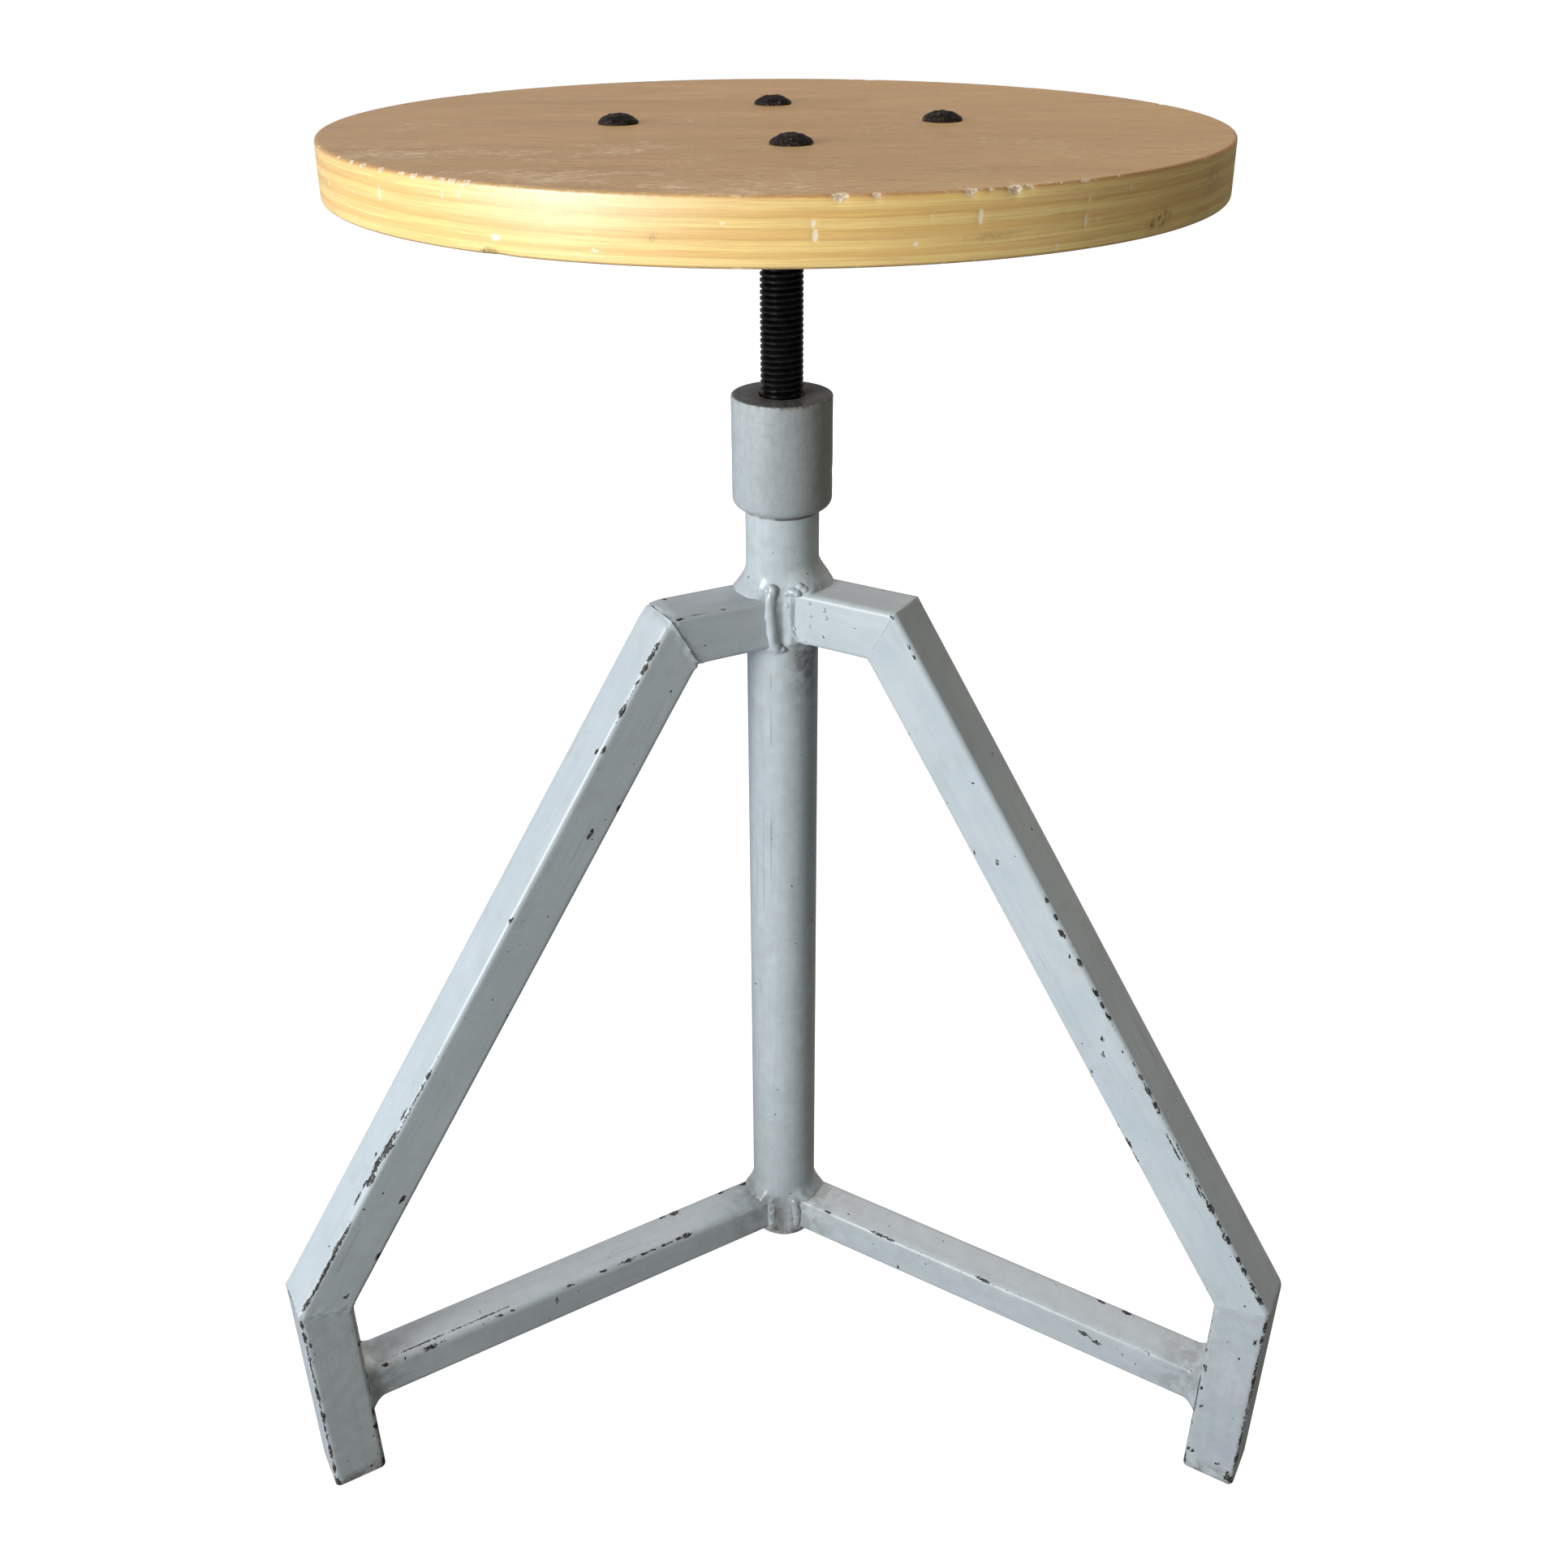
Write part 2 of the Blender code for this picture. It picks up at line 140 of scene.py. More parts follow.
def lumps(points, scale, seed=0.0):
    """Smooth noise from -1 to 1 at each point, with bumps about 1/scale metres wide."""
    offset = Vector((seed, seed * 1.7, -seed))
    return np.array([noise.noise(Vector(p) * scale + offset) for p in points])


def smoothstep(low, high, value):
    t = np.clip((np.asarray(value, float) - low) / (high - low), 0, 1)
    return t * t * (3 - 2 * t)


def arc(centre, radius, start, end, steps):
    """Points on an arc about a centre, angles in degrees."""
    angles = np.radians(np.linspace(start, end, steps + 1))
    return [(centre[0] + radius * math.cos(a), centre[1] + radius * math.sin(a)) for a in angles]


def spaced(start, end, step):
    """Evenly spaced numbers from start up to, but without, end."""
    count = max(1, round(abs(end - start) / step))
    return [start + (end - start) * i / count for i in range(count)]


def turned(profile, steps, centre=AXIS):
    """Rings of points for a (radius, height) profile turned about a vertical line."""
    angles = np.arange(steps) * 2 * math.pi / steps
    profile = np.asarray(profile, float)
    points = np.empty((len(profile), steps, 3))
    points[:, :, 0] = centre[0] + profile[:, :1] * np.cos(angles)
    points[:, :, 1] = centre[1] + profile[:, :1] * np.sin(angles)
    points[:, :, 2] = profile[:, 1:2]
    return points


def grow_from_axis(points, factor):
    """Moves rings of points out from the column's axis by a factor."""
    points[:, :, 0] = AXIS.x + (points[:, :, 0] - AXIS.x) * factor
    points[:, :, 1] = AXIS.y + (points[:, :, 1] - AXIS.y) * factor


def azimuth_grid(rows, steps):
    return np.broadcast_to(np.arange(steps) * 2 * math.pi / steps, (rows, steps))


def wrapped(angle):
    return (angle + math.pi) % (2 * math.pi) - math.pi


def lobe(angle, centre, spread):
    """1 at an azimuth, fading on both sides of it. centre and spread are in degrees."""
    return np.exp(-((np.degrees(wrapped(angle - math.radians(centre))) / spread) ** 2))


def capped_faces(rows, columns):
    """Faces of a solid of rings with a flat cap on its first and last ring."""
    last = (rows - 1) * columns
    caps = [list(range(columns))[::-1], list(range(last, last + columns))]
    return ring_faces(rows, columns) + caps


# ---------------------------------------------------------------- material helpers
class Finish:
    """A node material: numbers that are the same all over go on the shader's own sockets."""

    def __init__(self, name, **sockets):
        self.material = bpy.data.materials.new(name)
        self.material.use_nodes = True
        self.tree = self.material.node_tree
        self.shader = self.tree.nodes["Principled BSDF"]
        for key, value in sockets.items():
            self.shader.inputs[key.replace("_", " ").title().replace("Ior", "IOR")].default_value = value

    def put(self, socket, value):
        if isinstance(value, bpy.types.NodeSocket):
            self.tree.links.new(value, socket)
        elif isinstance(value, tuple) and len(value) == 3 and socket.type == "RGBA":
            socket.default_value = (*value, 1.0)
        else:
            socket.default_value = value

    def node(self, kind, **settings):
        made = self.tree.nodes.new("ShaderNode" + kind)
        for key, value in settings.items():
            setattr(made, key, value)
        return made

    def math(self, operation, first, second=0.0, third=0.0, clamp=False):
        made = self.node("Math", operation=operation, use_clamp=clamp)
        for socket, value in zip(made.inputs, (first, second, third)):
            self.put(socket, value)
        return made.outputs[0]

    def add(self, *values):
        total = values[0]
        for value in values[1:]:
            total = self.math("ADD", total, value)
        return total

    def times(self, first, second):
        return self.math("MULTIPLY", first, second)

    def step(self, value, low, high, to_low=0.0, to_high=1.0):
        """A smooth step of value from low to high."""
        made = self.node("MapRange", interpolation_type="SMOOTHSTEP")
        for key, setting in (
            ("Value", value), ("From Min", low), ("From Max", high), ("To Min", to_low), ("To Max", to_high)
        ):
            self.put(made.inputs[key], setting)
        return made.outputs[0]

    def mix(self, factor, first, second, blend="MIX"):
        made = self.node("Mix", data_type="RGBA", blend_type=blend)
        self.put(made.inputs[0], factor)
        self.put(made.inputs[6], first)
        self.put(made.inputs[7], second)
        return made.outputs[2]

    def ramp(self, value, stops):
        """A colour ramp with stops of (place, colour)."""
        made = self.node("ValToRGB")
        elements = made.color_ramp.elements
        while len(elements) < len(stops):
            elements.new(0.5)
        for element, (place, colour) in zip(elements, stops):
            element.position = place
            element.color = (*colour, 1.0)
        self.put(made.inputs[0], value)
        return made.outputs[0]

    def place(self):
        """The piece's own coordinates, in metres."""
        return self.node("TexCoord").outputs["Object"]

    def attribute(self, name, output="Fac"):
        return self.node("Attribute", attribute_name=name).outputs[output]

    def stretch(self, vector, scale, offset=(0.0, 0.0, 0.0)):
        made = self.node("Mapping")
        self.put(made.inputs["Vector"], vector)
        made.inputs["Location"].default_value = offset
        made.inputs["Scale"].default_value = scale
        return made.outputs[0]

    def noise(self, vector, scale, detail=3.0, roughness=0.5, stretch=None, distortion=0.0, offset=0.0):
        if stretch or offset:
            vector = self.stretch(vector, stretch or (1.0, 1.0, 1.0), (offset, offset, offset))
        made = self.node("TexNoise")
        self.put(made.inputs["Vector"], vector)
        made.inputs["Scale"].default_value = scale
        made.inputs["Detail"].default_value = detail
        made.inputs["Roughness"].default_value = roughness
        made.inputs["Distortion"].default_value = distortion
        return made.outputs["Fac"]

    def bump(self, height, distance, strength=1.0, normal=None):
        made = self.node("Bump")
        made.inputs["Strength"].default_value = strength
        made.inputs["Distance"].default_value = distance
        self.put(made.inputs["Height"], height)
        if normal is not None:
            self.put(made.inputs["Normal"], normal)
        return made.outputs[0]

    def finish(self, colour=None, roughness=None, normal=None, metallic=None):
        for key, value in (
            ("Base Color", colour), ("Roughness", roughness), ("Normal", normal), ("Metallic", metallic)
        ):
            if value is not None:
                self.put(self.shader.inputs[key], value)
        return self.material


# ---------------------------------------------------------------- materials
def frame_paint():
    """Light blue-grey semi-gloss paint that has chipped off the tubes' edges down to dark steel."""
    f = Finish("frame_paint", ior=1.5)
    local = f.attribute("local", "Vector")
    wear = f.attribute("wear")
    grime = f.attribute("grime")
    bare_top = f.attribute("bare")
    painted_shade_and_stain = f.attribute("painted_shade_and_stain")
    gloss = f.attribute("gloss")

    cloud = f.noise(local, 22.0, 4.0, 0.6)
    brushed = f.noise(local, 1.0, 4.0, 0.7, stretch=(520.0, 520.0, 22.0), offset=3.0)
    colour = f.ramp(cloud, [(0.30, (0.475, 0.555, 0.60)), (0.70, (0.545, 0.62, 0.655))])
    colour = f.mix(f.step(brushed, 0.38, 0.72, 0.0, 0.30), colour, (0.39, 0.455, 0.49))
    mottle = f.noise(local, 75.0, 4.0, 0.65, offset=29.0)
    colour = f.mix(f.step(mottle, 0.52, 0.72, 0.0, 0.28), colour, (0.40, 0.42, 0.41))
    # painted shade: a neutral grey darkening low on the frame, over the collar and on the column's lower
    # left; it also darkens the stain runs in front of the column
    colour = f.mix(painted_shade_and_stain, colour, (0.20, 0.215, 0.205))

    # where the paint is gone
    blotch = f.noise(local, 1.0, 2.0, 0.5, stretch=(260.0, 260.0, 120.0), offset=7.0)
    ragged = f.noise(local, 1.0, 4.0, 0.75, stretch=(1250.0, 1250.0, 680.0), offset=11.0)
    speck = f.noise(local, 420.0, 1.0, 0.5, offset=23.0)
    torn = f.times(f.times(f.math("SUBTRACT", ragged, 0.5), 5.5), f.times(wear, wear))
    pinholes = f.step(speck, 0.765, 0.80, 0.0, 0.5)
    amount = f.add(wear, f.times(blotch, 0.45), f.times(ragged, 0.65), torn, pinholes)
    chip = f.step(amount, 0.995, 1.03)
    # a pale ring round each chip: painted highlight on the broken paint edge
    chip_rim_highlight = f.math("SUBTRACT", f.step(amount, 0.92, 0.98), chip, clamp=True)

    # hair-thin scratches along the tube
    scratch = f.noise(local, 1.0, 1.0, 0.5, stretch=(820.0, 820.0, 9.0), offset=37.0, distortion=0.15)
    fade = f.noise(local, 30.0, 2.0, 0.5, offset=43.0)
    thin = f.times(f.step(scratch, 0.705, 0.735), f.step(fade, 0.50, 0.60))

    dirt = f.noise(local, 160.0, 5.0, 0.65, offset=17.0)
    stain = f.math("MULTIPLY", grime, f.step(dirt, 0.34, 0.62), clamp=True)
    soiled = f.ramp(dirt, [(0.4, (0.17, 0.12, 0.075)), (0.7, (0.07, 0.06, 0.05))])
    colour = f.mix(f.times(stain, 0.85), colour, soiled)
    # painted highlight: pale rings round the chips
    colour = f.mix(f.times(chip_rim_highlight, 0.45), colour, (0.74, 0.77, 0.79))
    colour = f.mix(f.times(thin, 0.55), colour, (0.20, 0.24, 0.26))
    bare = f.ramp(ragged, [(0.40, (0.008, 0.007, 0.008)), (0.66, (0.045, 0.036, 0.030))])
    colour = f.mix(chip, colour, bare)
    rubbed = f.math("MULTIPLY", bare_top, f.step(mottle, 0.30, 0.62, 0.72, 1.0), clamp=True)
    worn_steel = f.ramp(dirt, [(0.35, (0.070, 0.069, 0.062)), (0.65, (0.20, 0.20, 0.185))])
    colour = f.mix(rubbed, colour, worn_steel)

    peel = f.noise(local, 520.0, 2.0, 0.5)
    swell = f.noise(local, 90.0, 2.0, 0.5, offset=5.0)
    skin = f.add(f.times(peel, 0.35), swell, f.times(brushed, 0.25), f.times(thin, -0.4))
    relief = f.bump(skin, 0.28 * MM, 0.40)
    normal = f.bump(f.math("SUBTRACT", 1.0, chip), 0.12 * MM, 1.0, relief)
    rough = f.add(
        f.step(cloud, 0.3, 0.7, 0.28, 0.38), f.times(chip, 0.25), f.times(stain, 0.2),
        f.times(rubbed, -0.06), f.times(gloss, -0.16)
    )
    return f.finish(colour, rough, normal)


def seat_plywood():
    """Varnished plywood: a quiet veneer on top and underneath, streaky plies round the side."""
    f = Finish("seat_plywood", ior=1.5, coat_weight=0.35, coat_roughness=0.30)
    place = f.place()
    chip = f.attribute("chip")
    side = f.attribute("side")
    scuff = f.attribute("scuff")
    soil = f.attribute("soil")
    rim = f.attribute("rim")
    part = f.node("SeparateXYZ")
    f.put(part.inputs[0], place)
    height = f.step(part.outputs[2], SEAT_LOW.z, SEAT_HIGH.z)
    height.node.interpolation_type = "LINEAR"

    # the veneer: fine grain along X with a wider, curving figure
    figure = f.noise(place, 1.0, 3.0, 0.55, stretch=(6.0, 26.0, 26.0), distortion=1.1)
    fibre = f.noise(place, 1.0, 4.0, 0.7, stretch=(40.0, 640.0, 640.0), offset=2.0)
    pores = f.noise(place, 1.0, 2.0, 0.5, stretch=(190.0, 1700.0, 1700.0), offset=5.0)
    fleck = f.noise(place, 700.0, 3.0, 0.7, offset=71.0)
    veneer = f.ramp(figure, [
        (0.30, (0.560, 0.362, 0.150)), (0.50, (0.645, 0.424, 0.182)), (0.72, (0.715, 0.475, 0.206)),
    ])
    veneer = f.mix(f.step(fibre, 0.40, 0.64, 0.0, 0.62), veneer, (0.46, 0.29, 0.135))
    veneer = f.mix(f.step(pores, 0.50, 0.70, 0.0, 0.45), veneer, (0.33, 0.205, 0.095))
    veneer = f.mix(f.step(fleck, 0.50, 0.66, 0.0, 0.42), veneer, (0.42, 0.275, 0.13))

    # short pale scratches, mostly on the sitter's side
    nick_a = f.noise(place, 1.0, 2.0, 0.6, stretch=(210.0, 1700.0, 1.0), offset=9.0, distortion=0.5)
    nick_b = f.noise(place, 1.0, 2.0, 0.5, stretch=(30.0, 34.0, 1.0), offset=13.0)
    front = f.step(part.outputs[1], AXIS.y + 0.02, AXIS.y - 0.10, 0.0, 0.06)
    nick = f.step(f.add(f.times(nick_a, 0.75), f.times(nick_b, 0.40), front), 0.745, 0.760)
    veneer = f.mix(f.times(nick, 0.9), veneer, (0.96, 0.78, 0.50))

    # the plies: light and dark layers, each one streaked along the edge
    wobble = f.noise(place, 16.0, 3.0, 0.6, offset=21.0)
    level = f.add(height, f.step(wobble, 0.3, 0.7, -0.022, 0.022))
    pale, honey, tan, glue = (0.99, 0.76, 0.30), (0.97, 0.69, 0.25), (0.88, 0.58, 0.20), (0.76, 0.48, 0.16)
    plies = f.ramp(level, [
        (0.00, honey), (0.06, pale), (0.130, pale), (0.165, tan), (0.235, tan), (0.270, pale),
        (0.385, honey), (0.410, glue), (0.440, tan), (0.540, tan), (0.575, pale), (0.680, honey),
        (0.705, glue), (0.735, tan), (0.800, tan), (0.840, pale), (0.930, honey), (1.00, (0.70, 0.40, 0.14)),
    ])
    streak = f.noise(place, 1.0, 4.0, 0.75, stretch=(24.0, 24.0, 2300.0), offset=1.0)
    band = f.noise(place, 1.0, 3.0, 0.6, stretch=(8.0, 8.0, 620.0), offset=31.0)
    edge_wood = f.mix(f.step(streak, 0.44, 0.60, 0.0, 0.55), plies, (0.66, 0.41, 0.135))
    edge_wood = f.mix(f.step(band, 0.50, 0.70, 0.0, 0.45), edge_wood, (0.93, 0.72, 0.33))
    dusk = f.noise(place, 11.0, 3.0, 0.6, offset=81.0)
    edge_wood = f.mix(f.step(dusk, 0.50, 0.72, 0.0, 0.22), edge_wood, (0.70, 0.45, 0.17))
    # painted highlight: a washed-out cream band on the upper side at the front left, where the varnish
    # catches the light
    edge_wood = f.mix(f.times(f.attribute("painted_highlight"), 0.55), edge_wood, (0.98, 0.92, 0.74))
    torn = f.noise(place, 1100.0, 3.0, 0.65, offset=51.0)
    stroke = f.step(f.add(scuff, f.times(torn, 0.5)), 0.60, 0.76)
    edge_wood = f.mix(f.times(stroke, 0.80), edge_wood, (0.97, 0.90, 0.70))

    colour = f.mix(side, veneer, edge_wood)
    colour = f.mix(f.times(rim, 0.75), colour, (0.58, 0.27, 0.085))
    torn_colour = f.ramp(torn, [(0.32, (0.50, 0.33, 0.17)), (0.56, (0.92, 0.78, 0.56))])
    broken = f.step(f.add(chip, f.times(torn, 0.6)), 0.62, 0.74)
    hollow = f.step(chip, 0.72, 0.98, 0.0, 0.6)
    colour = f.mix(broken, colour, f.mix(hollow, torn_colour, (0.50, 0.34, 0.18)))
    dirt = f.noise(place, 420.0, 4.0, 0.7, offset=61.0)
    colour = f.mix(f.times(soil, f.step(dirt, 0.40, 0.62, 0.0, 0.9)), colour, (0.13, 0.085, 0.045))

    grain = f.add(f.times(fibre, 0.6), f.times(pores, -0.4), f.times(fleck, 0.4), f.times(nick, -0.5))
    edge_grain = f.add(streak, f.times(torn, f.times(broken, 0.9)))
    height_map = f.node("Mix", data_type="FLOAT")
    for index, value in ((0, side), (2, grain), (3, edge_grain)):
        f.put(height_map.inputs[index], value)
    normal = f.bump(height_map.outputs[0], 0.16 * MM, 0.75)
    rough = f.add(f.step(fibre, 0.3, 0.7, 0.44, 0.54), f.times(side, -0.08), f.times(broken, 0.25))
    return f.finish(colour, rough, normal)


def black_steel():
    """Black lacquered steel, a little rough, with lighter brown specks: rubbed spots and painted highlights
    on the hammered relief.
    """
    f = Finish("black_steel", ior=1.32)
    place = f.place()
    coarse = f.noise(place, 420.0, 3.0, 0.6)
    fine = f.noise(place, 1500.0, 2.0, 0.6, offset=3.0)
    colour = f.ramp(coarse, [(0.35, (0.006, 0.0042, 0.003)), (0.62, (0.024, 0.016, 0.011))])
    # lighter brown specks: rubbed spots, and painted highlights on the hammered relief
    rubbed_and_glint_specks = f.step(f.add(f.times(coarse, 0.6), f.times(fine, 0.4)), 0.57, 0.64)
    colour = f.mix(f.times(rubbed_and_glint_specks, 0.7), colour, (0.21, 0.145, 0.095))
    normal = f.bump(f.add(coarse, f.times(fine, 0.6)), 1.2 * MM, 1.0)
    rough = f.step(fine, 0.3, 0.7, 0.16, 0.34)
    return f.finish(colour, rough, normal)


def black_thread():
    """Oiled black thread: dark and fairly glossy, with worn crests."""
    f = Finish("black_thread", ior=1.36)
    place = f.place()
    crest = f.attribute("crest")
    oil = f.noise(place, 260.0, 3.0, 0.6)
    fine = f.noise(place, 1600.0, 2.0, 0.5, offset=4.0)
    colour = f.ramp(oil, [(0.35, (0.0025, 0.0025, 0.003)), (0.65, (0.007, 0.0068, 0.007))])
    worn = f.times(crest, f.step(f.add(f.times(oil, 0.6), f.times(fine, 0.4)), 0.50, 0.64, 0.0, 0.2))
    colour = f.mix(worn, colour, (0.022, 0.022, 0.024))
    normal = f.bump(fine, 0.05 * MM, 0.5)
    rough = f.step(oil, 0.3, 0.7, 0.16, 0.26)
    return f.finish(colour, rough, normal)


def zinc_steel():
    """Bright zinc on small fasteners, dulled in patches."""
    f = Finish("zinc_steel")
    place = f.place()
    patch = f.noise(place, 300.0, 4.0, 0.65)
    fine = f.noise(place, 1.0, 2.0, 0.5, stretch=(900.0, 900.0, 3000.0), offset=3.0)
    colour = f.ramp(patch, [
        (0.35, (0.30, 0.29, 0.27)), (0.55, (0.50, 0.50, 0.49)), (0.75, (0.60, 0.60, 0.59)),
    ])
    metallic = f.step(patch, 0.30, 0.45, 0.75, 1.0)
    normal = f.bump(f.add(patch, f.times(fine, 0.3)), 0.08 * MM, 0.5)
    rough = f.step(patch, 0.3, 0.7, 0.52, 0.30)
    return f.finish(colour, rough, normal, metallic)


PAINT = frame_paint()
PLYWOOD = seat_plywood()
BLACK = black_steel()
THREAD = black_thread()
ZINC = zinc_steel()


# ---------------------------------------------------------------- square tubes
class Section:
    """A square tube's outline: points, and how near each one is to a corner."""

    def __init__(self, side, corner, arc_steps=6, gap=1.8 * MM):
        half = side / 2
        flat = half - corner
        inside = [flat - 0.9 * MM] + spaced(flat - 0.9 * MM - gap, 0.0, gap)
        points = []
        for quarter in range(4):
            turn = math.radians(90 * quarter)
            cosine, sine = math.cos(turn), math.sin(turn)
            # from the middle of one side, round a corner, to the middle of the next side
            local = [(half, d) for d in [0.0] + inside[::-1]]
            local += arc((flat, flat), corner, 0, 90, arc_steps)
            local += [(d, half) for d in inside]
            for x, y in local:
                points.append((x * cosine - y * sine, x * sine + y * cosine))
        outline = np.array(points)
        self.x = outline[:, 0]
        self.y = outline[:, 1]
        self.half = half
        self.corner = corner
        from_corner = np.maximum(half - abs(self.x), half - abs(self.y))
        self.edge = np.clip(1 - (from_corner - 0.3 * corner) / (3.2 * MM), 0, 1)

    def at(self, sign_x, sign_y, offset):
        """The outline point this far round from a corner's middle, positive towards the side face."""
        quarter = self.corner * math.pi / 4
        turn = math.pi / 4 - max(-quarter, min(quarter, offset)) / self.corner
        past = max(abs(offset) - quarter, 0.0)
        flat = self.half - self.corner
        x = flat + self.corner * math.cos(turn) - (past if offset < 0 else 0.0)
        y = flat + self.corner * math.sin(turn) - (past if offset > 0 else 0.0)
        return sign_x * x, sign_y * y


LEG_SECTION = Section(LEG_SIDE, LEG_CORNER)
BRACE_SECTION = Section(BRACE_SIDE, BRACE_CORNER)
REAR_LEG_SECTION = Section(LEG_SIDE, LEG_CORNER, gap=3.0 * MM)
REAR_BRACE_SECTION = Section(BRACE_SIDE, BRACE_CORNER, gap=3.0 * MM)


def unit(vector):
    return vector / np.linalg.norm(vector)


def inward(along):
    return np.array([along[1], -along[0]])


def inset_corner(before, corner, after, distance):
    """Where both sides of a corner meet once they are moved inwards by a distance."""
    first = inward(unit(corner - before))
    second = inward(unit(after - corner))
    return corner + (first + second) * distance / (1 + first.dot(second))


ARM_START = np.array([0.0, ARM_TOP])
KNEE_MIDDLE = inset_corner(ARM_START, KNEE, ANKLE, LEG_SIDE / 2)
ANKLE_MIDDLE = inset_corner(KNEE, ANKLE, FOOT, LEG_SIDE / 2)
ARM_ALONG = np.array([1.0, 0.0])
STRUT_ALONG = unit(ANKLE - KNEE)
FOOT_ALONG = unit(FOOT - ANKLE)
KNEE_CUT = unit(ARM_ALONG + STRUT_ALONG)
ANKLE_CUT = unit(STRUT_ALONG + FOOT_ALONG)
LEVEL = np.array([0.0, -1.0])


def plane_distance(section, start, along, point, normal):
    """How far along the tube each outline point meets a plane across it."""
    aside = inward(along)
    return ((point - start).dot(normal) - section.y * aside.dot(normal)) / along.dot(normal)


def round_outside(reach_at, height_at, depth, corner, before, after, radius):
    """Moves points near a bend's outer corner onto an arc."""
    first, second = inward(before), inward(after)
    middle = (first + second) / (1 + first.dot(second))
    centre_r, centre_h = corner[0] + middle[0] * radius, corner[1] + middle[1] * radius
    dr, dh = reach_at - centre_r, height_at - centre_h
    length = np.hypot(dr, dh)
    wanted = radius - depth
    inside_wedge = (dr * before[0] + dh * before[1] > 0) & (dr * after[0] + dh * after[1] < 0)
    moved = inside_wedge & (wanted > 0) & (length > wanted)
    scale = np.where(moved, wanted / np.maximum(length, 1e-9), 1.0)
    return centre_r + dr * scale, centre_h + dh * scale


def stations(length, dense_start, dense_end, fine=0.9 * MM, coarse=4.5 * MM):
    """Shares of a tube's length at which it gets a ring: close together near a dense end."""
    marks = spaced(0.0, dense_start, fine) if dense_start else []
    marks += spaced(dense_start, length - dense_end, coarse)
    marks += spaced(length - dense_end, length, fine) if dense_end else []
    return np.array(marks + [length]) / length


CHIP_SCALE = 0.86


def chip_field(section, x, y, along_at, chips):
    """Paint loss from placed chips: (place along, sign x, sign y, offset from the corner, length, width).

    Millimetres. A positive offset is on the tube's side face, a negative one on its outer or inner face.
    A seventh number is a chip's strength: a long weak one is a worn edge, which the finish breaks up.
    """
    field = np.zeros(x.shape)
    for place, sign_x, sign_y, offset, length, wide, *strength in chips:
        centre_x, centre_y = section.at(sign_x, sign_y, offset * MM)
        far = np.hypot(x - centre_x, y - centre_y) / (CHIP_SCALE * wide * MM)
        down = (along_at - place * MM) / (CHIP_SCALE * length * MM)
        power = 6 if strength else 2
        peak = strength[0] if strength else 0.98
        field = np.maximum(field, peak * np.exp(-(far**2) - abs(down) ** power))
    return field


def random_chips(seed, low, high, count, corners):
    """Chips scattered along an edge, more of them towards its low end."""
    draw = random.Random(seed)
    chips = []
    for sign_x, sign_y in corners:
        for _ in range(count):
            place = low + (high - low) * draw.random() ** 1.6
            size = draw.uniform(0.8, 1.9)
            offset = draw.uniform(-1.5, 1.5)
            chips.append((place, sign_x, sign_y, offset, size * draw.uniform(1.0, 2.6), size))
    return chips


def raise_seams(section, x, y, z, first, last, seams, number):
    """The ground-down weld that runs round a tube's cut end, as an uneven low ridge."""
    swell = 0.0
    for end, rise in zip((first, last), seams):
        near = np.exp(-(((z - end[None, :]) / (2.6 * MM)) ** 2))
        where = np.stack([x, y * 1.6, z], -1).reshape(-1, 3)
        uneven = 0.35 + 1.3 * lumps(where, 430, number).reshape(z.shape)
        swell = swell + near * rise * np.clip(uneven, -0.5, 1.0)
    scale = 1 + swell / section.half
    return x * scale, y * scale


def arm_lift(number):
    """How far a leg's tubes stand above their nominal height, fading to nothing at the ankle."""
    near, far = ARM_LIFT[number]

    def lift(reach_at, height_at):
        along_arm = near + (far - near) * np.clip(reach_at / KNEE[0], 0, 1)
        return along_arm * smoothstep(ANKLE[1], KNEE[1] - LEG_SIDE, height_at)

    return lift


def brace_lift(number):
    """How far a brace stands above its nominal height, from the column's wall to its foot."""
    near, far = BRACE_LIFT[number]

    def lift(reach_at, height_at):
        return near + (far - near) * np.clip((reach_at - BRACE_INNER_REACH) / BRACE_LENGTH, 0, 1)

    return lift


def leg_axes(number):
    """Level unit vectors: outwards along a leg, and across it."""
    azimuth = LEG_AZIMUTHS[number]
    outward = np.array([math.cos(azimuth), math.sin(azimuth), 0.0])
    return outward, np.array([math.sin(azimuth), -math.cos(azimuth), 0.0])


